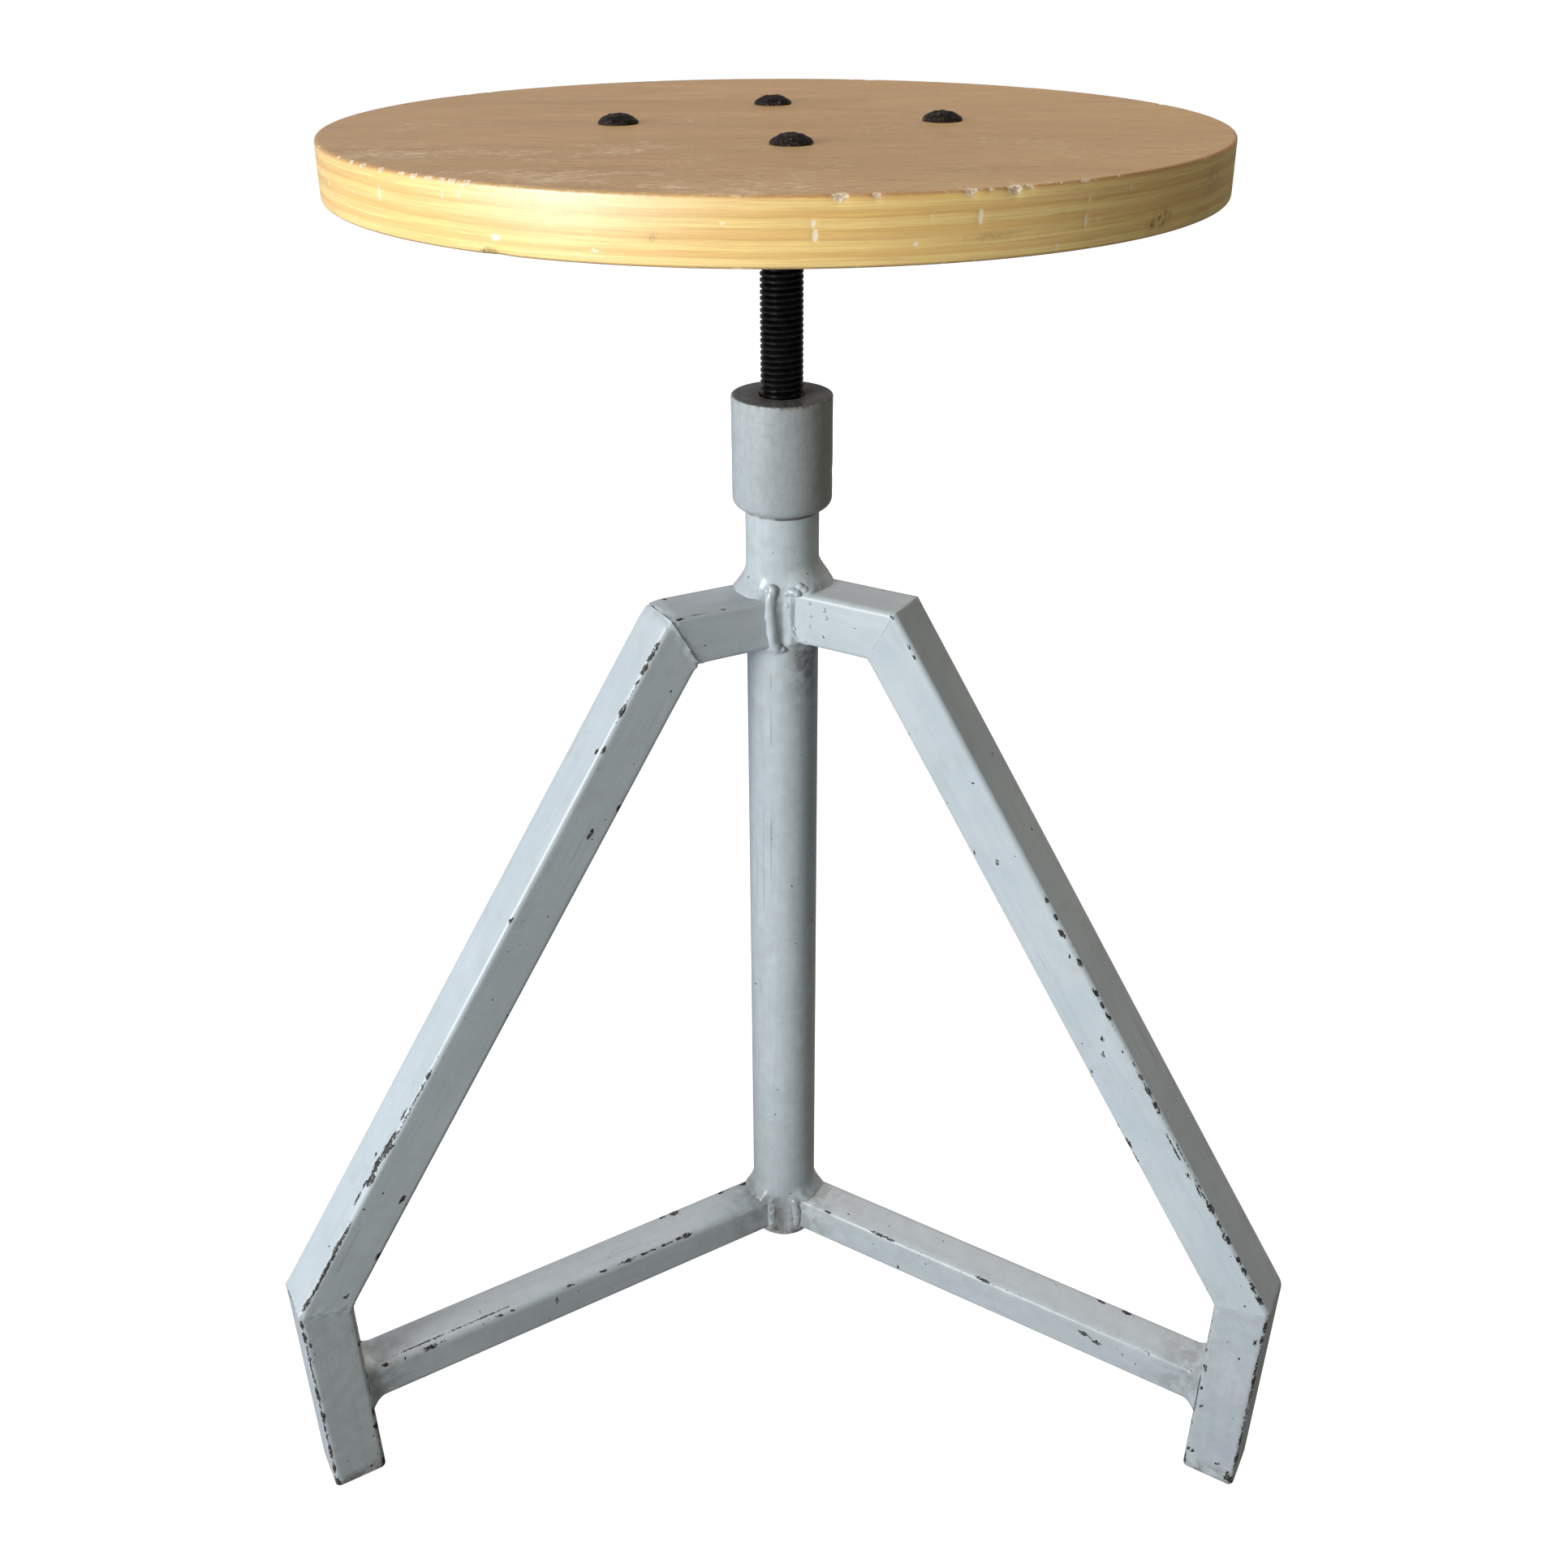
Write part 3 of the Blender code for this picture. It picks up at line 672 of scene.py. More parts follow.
def build_tube(name, number, section, start, along, first, last, marks, bends=(), shape=None,
               base_wear=None, chips=(), grime=None, stands_for=(), shift=0.0, seams=(), lift=None):
    """A square tube in a leg's plane. first and last say how far along each outline point begins and ends."""
    aside = inward(along)
    t = marks[:, None]
    z = first[None, :] + t * (last - first)[None, :]
    x = np.broadcast_to(section.x, z.shape).copy()
    y = np.broadcast_to(section.y, z.shape).copy()
    if shape:
        x, y, z = shape(x, y, z, first, last)
    if seams:
        x, y = raise_seams(section, x, y, z, first, last, seams, number)
    reach_at = start[0] + aside[0] * y + along[0] * z
    height_at = start[1] + aside[1] * y + along[1] * z
    front = 0.5 - 0.5 * FRONT_SIDE[number] * x / section.half
    for corner, before, after, (front_radius, far_radius) in bends:
        reach_at, height_at = round_outside(
            reach_at, height_at, y + section.half, corner, before, after,
            front_radius + (far_radius - front_radius) * front
        )
    outward, across = leg_axes(number)
    raised = height_at + (lift(reach_at, height_at) if lift else 0.0)
    points = (
        np.array(AXIS) + reach_at[..., None] * outward + x[..., None] * across
        + raised[..., None] * np.array([0.0, 0.0, 1.0])
    )
    rows, columns = z.shape
    faces = ring_faces(rows, columns)
    faces += [face[::-1] for face in strip_cap(0, columns)]
    faces += strip_cap((rows - 1) * columns, columns)

    edge = np.broadcast_to(section.edge, z.shape)
    along_at = reach_at if along[1] == 0 else height_at
    wear = base_wear(reach_at, height_at) * (0.45 + 0.55 * edge)
    wear = np.maximum(wear, chip_field(section, x, y, along_at, chips))
    values = {
        "wear": wear,
        "grime": grime(reach_at, height_at) if grime else np.zeros(z.shape),
        # painted shade: the tubes darken towards the floor
        "painted_shade_and_stain": 0.20 * smoothstep(0.17, 0.05, height_at),
        "local": np.stack([x + shift, y, z + shift * 3], -1),
    }
    return add_piece(f"{name}_{number}", points, faces, PAINT, "frame",
                     [f"{node}_{number}" for node in stands_for], values)


def wall_start(section):
    """Arms and braces begin inside the column's wall, following its curve."""
    return np.sqrt((COLUMN_RADIUS - 0.5 * COLUMN_WALL) ** 2 - section.x**2)


# each bend's outside radius on the tube's front side and on its far side
KNEE_RADIUS = {1: (8 * MM, 14 * MM), 2: (1.6 * MM, 2 * MM), 3: (6 * MM, 6 * MM)}
ANKLE_RADIUS = {1: (4 * MM, 12 * MM), 2: (4 * MM, 10 * MM), 3: (11 * MM, 11 * MM)}
FRONT_SIDE = {1: -1, 2: 1, 3: 1}
SEAM_RISE = {1: 0.85 * MM, 2: 0.22 * MM, 3: 0.6 * MM}
# hand-welded, so each arm and brace sits a little high or low: at the column and at its outer end
ARM_LIFT = {1: (-1.7 * MM, -0.2 * MM), 2: (1.6 * MM, 1.8 * MM), 3: (0.0, 0.0)}
BRACE_LIFT = {1: (1.4 * MM, 0.0), 2: (1.6 * MM, -2.4 * MM), 3: (0.0, 0.0)}
BRACE_INNER_REACH = 0.016
BRACE_LENGTH = 0.21
FOOT_ROUND = 2.4 * MM


def on_corners(groups):
    """Placed chips, from the rows listed under each of the tube's corners."""
    return [(place, *corner, *rest) for corner, rows in groups.items() for place, *rest in rows]


# under each corner's signs: (height, offset from the corner, length, width), millimetres, and a strength
STRUT_CHIPS = {
    1: on_corners({
        (-1, -1): [
            (400, 0, 3, 1.3), (396, 0, 2.2, 1.3), (391, 0, 3, 1.3), (386, 0, 1, 0.7),
            (374, 0, 3.6, 1.3), (358, 1, 2, 1), (357, -2, 1.5, 1), (287, 0, 2, 1), (221, 0, 3, 0.9),
            (203, -2, 4, 1), (193, -1, 4, 1.4), (188, -1, 5, 2.4), (181, -2, 6, 2.0), (175, -1, 4, 2.2),
            (172, -3, 3, 1), (183, -6, 1.4, 0.9), (166, -3, 4.4, 1), (146, 0, 4, 1.2),
            (136, 0.4, 24, 1.1, 0.8), (143, -4, 1.6, 0.8), (120, 0, 4, 1.1), (205, 0, 34, 1.1, 0.47),
            (385, 0, 24, 1.2, 0.4), (299, 9, 1.6, 0.8),
        ],
        (1, -1): [
            (334, 0, 1.6, 0.9), (331, 0, 1, 0.8), (151, 0, 2, 0.9), (143, 0, 2, 1), (139, 0, 1.5, 0.8),
        ],
        (-1, 1): [
            (328, 1, 2.6, 1.4), (324, 4, 2, 0.8), (319, 8, 3, 0.8), (159, 5, 3, 1), (162, 0, 2, 1),
            (132, 1, 3, 1.8), (124, 0, 4, 0.9), (116, 6, 1.5, 1),
        ],
    }),
    2: on_corners({
        (1, -1): [
            (410, 1, 1.5, 0.9), (398, 1, 1, 0.7), (394, 1, 1.2, 0.7), (294, 0, 2, 0.9), (287, 0, 2, 1),
            (280, 1, 2.6, 1.3), (273, 4, 1.4, 0.8), (270, 3, 1.2, 0.9), (268, 0, 3, 1.2),
            (255, 0, 3.2, 1.4), (250, 0, 2, 1.1), (251, 4, 1, 0.8), (247, 4, 1.3, 0.8),
            (245, 0, 2.4, 1.1), (238, 7, 1.5, 0.7), (233, 8, 1.3, 0.8), (225, 12, 1.5, 0.8),
            (230, 2, 1, 0.8), (219, 0, 2.2, 1.1), (213, 0, 2.6, 1.4), (207, 0, 2.2, 1.2),
            (204, 0, 1.5, 0.8), (212, 7, 1.2, 0.9), (192, 2, 4, 0.5), (186, 2, 4, 0.5),
            (176, 2, 1.8, 1), (169, 1, 5, 0.5), (162, 0, 2.6, 1.6), (155, 0, 1.8, 1),
            (148, 0, 2.6, 1.7), (139, 0, 2.2, 1.1), (134, 0, 2.6, 1.2), (127, 0, 2.4, 1.1),
            (121, 0, 2.8, 1.7), (200, 0, 80, 1.1, 0.42),
        ],
        (1, 1): [
            (211, 0, 1.8, 1), (214, 2, 1, 0.6), (189, 0, 2, 1), (182, 1, 2.6, 1.5), (175, 0, 3, 1.6),
            (286, 0, 1.2, 0.8), (306, 10, 1.4, 0.8), (308, 2, 0.9, 0.7),
        ],
        (-1, -1): [
            (396, 0, 2, 1), (257, 0, 2, 0.9), (250, 0, 2.4, 0.9), (246, 0, 2, 1), (318, -8, 1, 0.8),
        ],
    }),
    3: random_chips(31, 115, 400, 20, [(1, -1), (-1, -1), (1, 1), (-1, 1)]),
}
STRUT_CHIPS[1] += random_chips(11, 115, 400, 14, [(1, 1)])
STRUT_CHIPS[2] += random_chips(12, 115, 400, 14, [(-1, 1)])
FOOT_CHIPS = {
    1: on_corners({
        (-1, -1): [
            (57, 0, 66, 1.25, 0.58), (109, 0, 4, 1.2), (101, 0, 5, 1.5), (96, 2, 2.4, 0.8),
            (66, 0, 4, 1.2), (50, 0.5, 3, 1.2), (41, 0, 3, 0.9), (27, 0, 7, 1.3), (14, 0, 4, 1.2),
            (4, 0, 4, 1.8), (89, 2.4, 1, 0.7), (3, 7, 1, 0.9), (0.6, 10, 1.1, 9, 0.46),
        ],
        (-1, 1): [
            (39, 0.5, 4, 0.8), (30, 1, 1.6, 1.4), (5, 0, 5, 1.6), (6, 6, 1.2, 0.8),
        ],
    }),
    2: on_corners({
        (1, -1): [
            (52, 0, 62, 1.15, 0.56), (107, 0, 6, 1.2), (96, 3.2, 2.4, 0.9), (99, 0.4, 3, 0.9),
            (72, 0, 5, 1), (63, 0, 3, 1.2), (34, 0, 8, 0.8), (19, 0, 8, 0.9), (5, 2, 3.4, 2),
            (9, 3.4, 1.4, 1), (12, 8, 0.7, 0.6),
        ],
        (1, 1): [
            (7, 0, 6, 0.8), (13, 3, 1.8, 0.9), (67, 2, 0.9, 0.8), (55, 1.4, 1.4, 1.1), (44, 3, 1.2, 1),
            (0.6, 10, 1.1, 9, 0.44),
        ],
    }),
    3: random_chips(33, 5, 110, 12, [(1, -1), (-1, -1)]),
}
for number in LEG_AZIMUTHS:
    FOOT_CHIPS[number] += random_chips(40 + number, 4, 110, 6, [(1, 1), (-1, 1)])
# on braces the place is a reach from the column's axis, and sign y is -1 on top
BRACE_CHIPS = {
    1: on_corners({
        (-1, -1): [
            (200, 1, 4, 1.3), (222, 0, 2, 1.2), (186, -2.4, 44, 0.45, 0.6), (86, 0, 26, 1.0, 0.46),
            (136, 6, 1.0, 5, 0.62), (165, 0, 2, 0.9), (159, 0, 1.5, 0.8), (63, 0, 4, 1.4),
            (68, 0, 2, 0.9), (76, 0, 2.4, 1), (82, 0, 2, 0.8), (88, 0, 2, 1), (96, 0, 2.4, 1.1),
            (84, -4, 1.2, 0.9), (110, 0, 2, 0.8), (128, 0, 3, 0.7),
        ],
        (-1, 1): [
            (160, 8, 1.5, 0.9), (178, 1, 2, 1), (204, 1, 2.4, 1.1),
        ],
        (1, -1): [
            (8, -5, 5, 3.4), (20, -2.2, 4, 1.6), (34, -1.8, 2.5, 1), (62, -2.2, 3.4, 2),
            (69, -1.8, 2.2, 1.2), (140, 0, 2, 1),
        ],
    }),
    2: on_corners({
        (1, -1): [
            (185, -2.0, 50, 0.4, 0.52), (32, 0, 2.4, 0.8), (61, 0, 4, 0.9), (68, 0, 4, 0.9),
            (174, 5, 3.4, 0.9), (180, 7, 4, 0.9), (120, 0, 5, 0.6),
        ],
        (1, 1): [
            (60, 8, 4, 0.8), (74, 3, 1.5, 0.9), (70, 0, 2.6, 1.3), (98, 0, 2.4, 1), (150, 0, 2, 0.9),
        ],
        (-1, -1): [
            (176, -1.8, 2.6, 1.2), (189, -2, 3, 1.6), (130, 0, 2, 0.8),
        ],
    }),
    3: random_chips(35, 30, 225, 10, [(1, -1), (-1, -1), (1, 1), (-1, 1)]),
}
ARM_CHIPS = {
    1: on_corners({
        (-1, -1): [
            (57, 0.5, 3, 0.7), (48, 0, 9, 0.8, 0.44), (36, 0, 1.0, 0.6), (58, 4, 1.6, 0.6),
            (56, 9, 1.6, 0.6),
        ],
        (1, -1): [
            (54, -3, 1.4, 1),
        ],
    }),
    2: on_corners({
        (1, -1): [
            (60, 1, 1.2, 0.8), (40, 8, 0.9, 0.7),
        ],
        (-1, -1): [
            (50, 0, 1.4, 0.8),
        ],
    }),
    3: random_chips(36, 25, 60, 3, [(1, -1), (-1, -1)]),
}


def strut_wear(reach_at, height_at):
    return 0.18 + 0.16 * smoothstep(0.26, 0.11, height_at)


def foot_wear(reach_at, height_at):
    return 0.34 + 0.22 * smoothstep(0.012, 0.0, height_at)


def brace_wear(reach_at, height_at):
    return np.full(np.shape(reach_at), 0.30)


def foot_grime(reach_at, height_at):
    return 0.8 * smoothstep(0.012, 0.0, height_at) + 0.15


def brace_grime(reach_at, height_at):
    near_column = smoothstep(0.045, 0.018, reach_at)
    near_foot = smoothstep(FOOT[0] - LEG_SIDE - 0.03, FOOT[0] - LEG_SIDE, reach_at)
    return 0.42 * np.maximum(near_column, near_foot) + 0.08


def round_foot(x, y, z, first, last):
    """Rounds the tube in towards the floor."""
    left = last[None, :] - z
    inset = FOOT_ROUND - np.sqrt(np.maximum(FOOT_ROUND**2 - np.maximum(FOOT_ROUND - left, 0) ** 2, 0))
    scale = 1 - inset / LEG_SECTION.half
    return x * scale, y * scale, z


def flare_brace(x, y, z, first, last):
    """The fillet weld at the foot: the outline swells over the last few millimetres."""
    left = np.clip(1 - (last[None, :] - z) / (7 * MM), 0, 1) ** 2
    wide = 1 + left * 2.2 * MM / BRACE_SECTION.half
    tall = 1 + left * np.where(y > 0, 5.0, 3.4) * MM / BRACE_SECTION.half
    return x * wide, y * tall, z


def build_legs():
    for number in LEG_AZIMUTHS:
        knee = (KNEE, ARM_ALONG, STRUT_ALONG, KNEE_RADIUS[number])
        ankle = (ANKLE, STRUT_ALONG, FOOT_ALONG, ANKLE_RADIUS[number])
        shift = 0.13 * number
        leg, strip, gap = (LEG_SECTION, BRACE_SECTION, 1.5 * MM) if number < 3 else (
            REAR_LEG_SECTION, REAR_BRACE_SECTION, 2.6 * MM)
        seam = SEAM_RISE[number]

        start = np.array([0.0, KNEE_MIDDLE[1]])
        build_tube(
            "leg_arm_shape", number, leg, start, ARM_ALONG, wall_start(leg),
            plane_distance(leg, start, ARM_ALONG, KNEE_MIDDLE, KNEE_CUT),
            stations(0.05, 0, 0.012, coarse=gap), [knee], base_wear=strut_wear,
            chips=ARM_CHIPS[number], stands_for=["leg_arm"], shift=shift, seams=(0.0, seam),
            lift=arm_lift(number),
        )
        build_tube(
            "leg_strut_shape", number, leg, KNEE_MIDDLE, STRUT_ALONG,
            plane_distance(leg, KNEE_MIDDLE, STRUT_ALONG, KNEE_MIDDLE, KNEE_CUT),
            plane_distance(leg, KNEE_MIDDLE, STRUT_ALONG, ANKLE_MIDDLE, ANKLE_CUT),
            stations(0.355, 0.012, 0.012, coarse=gap), [knee, ankle], base_wear=strut_wear,
            chips=STRUT_CHIPS[number], stands_for=["leg_strut"], shift=shift + 0.5, seams=(seam, seam * 0.7),
            lift=arm_lift(number),
        )
        build_tube(
            "leg_foot_shape", number, leg, ANKLE_MIDDLE, FOOT_ALONG,
            plane_distance(leg, ANKLE_MIDDLE, FOOT_ALONG, ANKLE_MIDDLE, ANKLE_CUT),
            plane_distance(leg, ANKLE_MIDDLE, FOOT_ALONG, FOOT, LEVEL),
            stations(0.114, 0.012, 0.003, fine=0.6 * MM, coarse=gap), [ankle], shape=round_foot,
            base_wear=foot_wear, chips=FOOT_CHIPS[number], grime=foot_grime,
            stands_for=["leg_foot", "foot_plate"], shift=shift + 0.9, seams=(seam * 0.7, 0.0),
        )
        start = np.array([0.0, BRACE_TOP - BRACE_SIDE / 2])
        foot_face = FOOT + inward(FOOT_ALONG) * LEG_SIDE
        build_tube(
            "brace_shape", number, strip, start, ARM_ALONG, wall_start(strip),
            plane_distance(strip, start, ARM_ALONG, foot_face, inward(FOOT_ALONG)) + 0.4 * MM,
            stations(0.22, 0, 0.008, coarse=gap), shape=flare_brace, base_wear=brace_wear,
            chips=BRACE_CHIPS[number], grime=brace_grime, stands_for=["brace"], shift=shift + 1.3,
            lift=brace_lift(number),
        )


build_legs()


# ---------------------------------------------------------------- column and collar
def weld_bulge(angle, height, half_width, top, bottom, crown, side_rise, side_spread):
    """How far the weld stands out of the column around one tube, from the unrolled distance to it."""
    rise, spread, slope = crown
    half_angle = math.asin(half_width / COLUMN_RADIUS)
    beside = COLUMN_RADIUS * np.maximum(abs(angle) - half_angle, 0)
    off_middle = COLUMN_RADIUS * np.maximum(abs(angle) - 0.6 * half_angle, 0)
    above = np.maximum(height - top, 0)
    below = np.maximum(bottom - height, 0)
    pad = rise * np.clip(1 - np.hypot(off_middle, above) / spread, 0, 1) ** slope
    flank = side_rise * np.clip(1 - np.hypot(beside, above + below) / side_spread, 0, 1) ** 2
    return flank + np.maximum(pad - flank, 0) * smoothstep(top - 5 * MM, top, height)


# how far the welds stand out on top of each arm, how far up the column they run, and their slope
CROWNS = {1: (6.4 * MM, 10.0 * MM, 1.5), 2: (7.0 * MM, 11.0 * MM, 1.3), 3: (6.0 * MM, 10.0 * MM, 1.5)}
BRACE_CROWN = (5.0 * MM, 8.0 * MM, 1.9)
WELD_LIMIT = 7.5 * MM


def build_column():
    top = COLUMN_HIGH.z
    bottom = COLUMN_LOW.z
    under_arms = ARM_TOP - LEG_SIDE
    # rings of points lie close together where a weld shapes the column, and wide apart elsewhere
    weld_top, weld_end = ARM_TOP + 0.014, under_arms - 0.007
    run_end, brace_weld_top = under_arms - 0.045, BRACE_TOP + 0.012
    heights = [top - 0.4 * MM, top - 0.7 * MM, top - 1.0 * MM]
    heights += spaced(top - 1.6 * MM, weld_top, 4 * MM)
    heights += spaced(weld_top, weld_end, 0.9 * MM)
    heights += spaced(weld_end, run_end, 3 * MM)
    heights += spaced(run_end, brace_weld_top, 7 * MM)
    heights += spaced(brace_weld_top, bottom + 1.0 * MM, 0.9 * MM)
    outer = [(COLUMN_RADIUS - 0.4 * MM, top)] + [(COLUMN_RADIUS, h) for h in heights]
    outer += arc((COLUMN_RADIUS - 0.8 * MM, bottom + 0.8 * MM), 0.8 * MM, 0, -90, 3)
    bore = COLUMN_RADIUS - COLUMN_WALL
    profile = outer + [(bore + 0.4 * MM, bottom), (bore, bottom + 0.4 * MM), (bore, top)]
    steps = 192
    points = turned(profile, steps)
    rows = len(profile)
    angle = azimuth_grid(rows, steps)
    height = points[:, :, 2]
    bulge = np.zeros((rows, steps))
    for number, azimuth in LEG_AZIMUTHS.items():
        off = wrapped(angle - azimuth)
        arm_up, brace_up = ARM_LIFT[number][0], BRACE_LIFT[number][0]
        arm = weld_bulge(off, height - arm_up, LEG_SIDE / 2, ARM_TOP, under_arms,
                         CROWNS[number], 2.0 * MM, 4.0 * MM)
        brace = weld_bulge(off, height - brace_up, BRACE_SIDE / 2, BRACE_TOP, BRACE_TOP - BRACE_SIDE,
                           BRACE_CROWN, 2.5 * MM, 4.5 * MM)
        bulge = np.maximum(bulge, arm) + brace
    # the gap in front, where the weld on top dips into a crease
    front = lobe(angle, -93, 25)
    bulge = bulge * (1 - 0.80 * front * smoothstep(ARM_TOP - 0.004, ARM_TOP, height))
    flat = points.reshape(-1, 3)
    rough = 1 + (0.14 * lumps(flat, 230) + 0.10 * lumps(flat, 560, 3.0)).reshape(rows, steps)
    on_outside = np.arange(rows)[:, None] < len(outer) - 3
    bulge = np.where(on_outside, bulge * rough, 0.0)
    bulge = np.minimum(bulge, WELD_LIMIT)
    grow = 1 + bulge / COLUMN_RADIUS
    grow_from_axis(points, grow)
    low_weld = smoothstep(0.085, 0.06, height)
    # a brown run under the right arm, and the dark line where the collar sits on
    run = lobe(angle, -50, 26)
    run = run * smoothstep(under_arms - 0.042, under_arms - 0.004, height) * (height < under_arms + 0.001)
    seam = 1.7 * smoothstep(top - 1.0 * MM, top - 0.6 * MM, height)
    # brown runs between the braces' welds in front
    between = lobe(angle, -96, 9)
    between += lobe(angle, -72, 7)
    between = between * smoothstep(0.072, 0.058, height)
    on_left = lobe(angle, -165, 45)
    values = {
        "wear": 0.10 + 0.25 * smoothstep(0.07, 0.04, height),
        "grime": (0.12 + 0.40 * low_weld * smoothstep(0.2 * MM, 2 * MM, bulge) + 0.8 * run + seam
                  + 0.55 * between),
        # painted shade: darker low down and on the lower left; the brown runs in front are darkened as well
        "painted_shade_and_stain": (0.22 * smoothstep(0.16, 0.05, height) + 0.35 * between
                 + 0.34 * on_left * smoothstep(0.30, 0.10, height)),
        "gloss": smoothstep(0.3 * MM, 1.5 * MM, bulge) * (0.15 + 0.85 * (height > 0.2)),
        "local": points - np.array(AXIS),
    }
    add_piece("column_shape", points, ring_faces(rows, steps, closed=True), PAINT,
              "frame", ["column"], values)


# weld beads on the column: knots of (azimuth, radius, height above the arms' or braces' tops), and thickness
ARM_BEADS = [
    ([(-104, 16.4, 5.2), (-106, 17.2, 2.6), (-107, 18.2, -1.5), (-107, 18.9, -10), (-105, 18.9, -18),
      (-102, 18.0, -24), (-94, 16.4, -26.5), (-86, 15.8, -24.5)], 2.1),
    ([(-114, 17.0, 1.2), (-109, 17.6, 2.6), (-103, 17.0, 3.4)], 1.7),
    ([(-66, 16.2, 7.5), (-76, 16.2, 3.8), (-86, 15.9, -0.4)], 1.3),
    ([(-82, 16.4, 1.6), (-75, 18.2, 2.4), (-67, 20.4, 1.4)], 1.9),
    ([(-70, 17.0, 5.0), (-64, 18.6, 4.0), (-58, 20.8, 2.0)], 1.9),
    ([(-83, 16.4, -3.0), (-81, 16.8, -6.0)], 1.2),
    ([(-82, 16.6, -7.4), (-80, 17.0, -9.6)], 1.0),
    ([(-79, 16.8, -11.4), (-76, 17.2, -13.4)], 1.3),
    ([(-75, 17.0, -14.6), (-70, 17.8, -16.4)], 1.1),
    ([(-79, 16.4, -16.0), (-70, 17.6, -19.4), (-60, 19.4, -21.4), (-54, 21.6, -22.4)], 1.5),
    ([(150, 17.8, 0.4), (150, 19.0, -10), (150, 18.0, -21)], 2.5),
    ([(31, 17.8, 0.4), (30, 19.0, -10), (29, 18.0, -21)], 2.5),
]
BRACE_BEADS = [
    ([(-112, 15.6, 1.5), (-111, 16.6, -6), (-112, 16.2, -14), (-113, 15.2, -18)], 2.0),
    ([(-70, 15.6, 2.2), (-68, 17.2, -4), (-66, 17.0, -12), (-66, 15.8, -17)], 2.3),
    ([(126, 16.0, 0), (127, 16.9, -8), (126, 16.2, -16)], 2.0),
    ([(54, 16.0, 0), (53, 16.9, -8), (54, 16.2, -16)], 2.0),
]
# drops of spatter on the right arm's front face: reach from the axis, height below the arm's top, radius
SPATTER = [(20.5, 3.4, 1.0), (27.6, 5.0, 1.5), (28.6, 8.6, 1.3), (21.2, 9.4, 1.0), (20.6, 14.2, 1.1)]


def bead_rings(knots, thickness, base, steps=14, count=34):
    """Rings of points for a rounded, lumpy string of weld along its knots."""
    share = np.linspace(0, len(knots) - 1, count)
    azimuth, radius, height = (np.interp(share, range(len(knots)), column) for column in zip(*knots))
    angle = np.radians(azimuth)
    path = np.stack([
        AXIS.x + radius * MM * np.cos(angle), AXIS.y + radius * MM * np.sin(angle), base + height * MM
    ], -1)
    for _ in range(4):
        path[1:-1] = (path[:-2] + 2 * path[1:-1] + path[2:]) / 4
    ahead = np.gradient(path, axis=0)
    ahead /= np.linalg.norm(ahead, axis=1)[:, None]
    out = np.stack([np.cos(angle), np.sin(angle), np.zeros(count)], -1)
    aside = np.cross(ahead, out)
    aside /= np.linalg.norm(aside, axis=1)[:, None]
    out = np.cross(aside, ahead)
    travelled = np.concatenate([[0], np.cumsum(np.linalg.norm(np.diff(path, axis=0), axis=1))])
    to_end = np.minimum(travelled, travelled[-1] - travelled) / (thickness * MM)
    wide = thickness * MM * np.sqrt(np.maximum(1 - np.maximum(1 - to_end, 0) ** 2, 0.0004))
    wide = wide * (1 + 0.07 * np.sin(travelled / (1.1 * MM)))
    turn = np.arange(steps) * 2 * math.pi / steps
    offset = np.cos(turn)[None, :, None] * aside[:, None, :] + np.sin(turn)[None, :, None] * out[:, None, :]
    rings = path[:, None, :] + offset * wide[:, None, None]
    lumpy = 1 + 0.24 * lumps(rings.reshape(-1, 3), 480, thickness).reshape(count, steps, 1)
    return path[:, None, :] + offset * wide[:, None, None] * lumpy


def droplet_rings(centre, radius, steps=10, count=7):
    """Rings of points for a small round drop."""
    tilt = np.linspace(0.06, math.pi - 0.06, count)[:, None]
    turn = np.arange(steps)[None, :] * 2 * math.pi / steps
    ball = np.stack([np.sin(tilt) * np.cos(turn), np.sin(tilt) * np.sin(turn), np.cos(tilt) + 0 * turn], -1)
    return np.asarray(centre) + ball * radius


def build_welds():
    rings = [bead_rings(knots, thick, ARM_TOP) for knots, thick in ARM_BEADS]
    rings += [bead_rings(knots, thick, BRACE_TOP) for knots, thick in BRACE_BEADS]
    outward, across = leg_axes(2)
    for along, down, radius in SPATTER:
        centre = np.array(AXIS) + outward * along * MM + across * (LEG_SIDE / 2 - 0.45 * radius * MM)
        centre[2] = ARM_TOP + ARM_LIFT[2][0] - down * MM
        rings.append(droplet_rings(centre, radius * MM))
    points, faces = [], []
    for ring in rings:
        first = sum(len(part) for part in points)
        rows, columns = ring.shape[:2]
        flat = ring.reshape(-1, 3)
        own = capped_faces(rows, columns)
        if signed_volume(flat - flat.mean(0), own) < 0:
            own = [face[::-1] for face in own]
        faces += [[first + i for i in face] for face in own]
        points.append(flat)
    points = np.concatenate(points)
    values = {
        "wear": np.full(len(points), 0.12),
        "gloss": np.ones(len(points)),
        # painted shade: the low welds darken towards the floor
        "painted_shade_and_stain": 0.18 * smoothstep(0.09, 0.06, points[:, 2]),
        "grime": 0.10 + 0.22 * smoothstep(0.09, 0.06, points[:, 2]),
        "local": points - np.array(AXIS),
    }
    add_piece("weld_beads", points, faces, PAINT, "frame", values=values, crease=70)


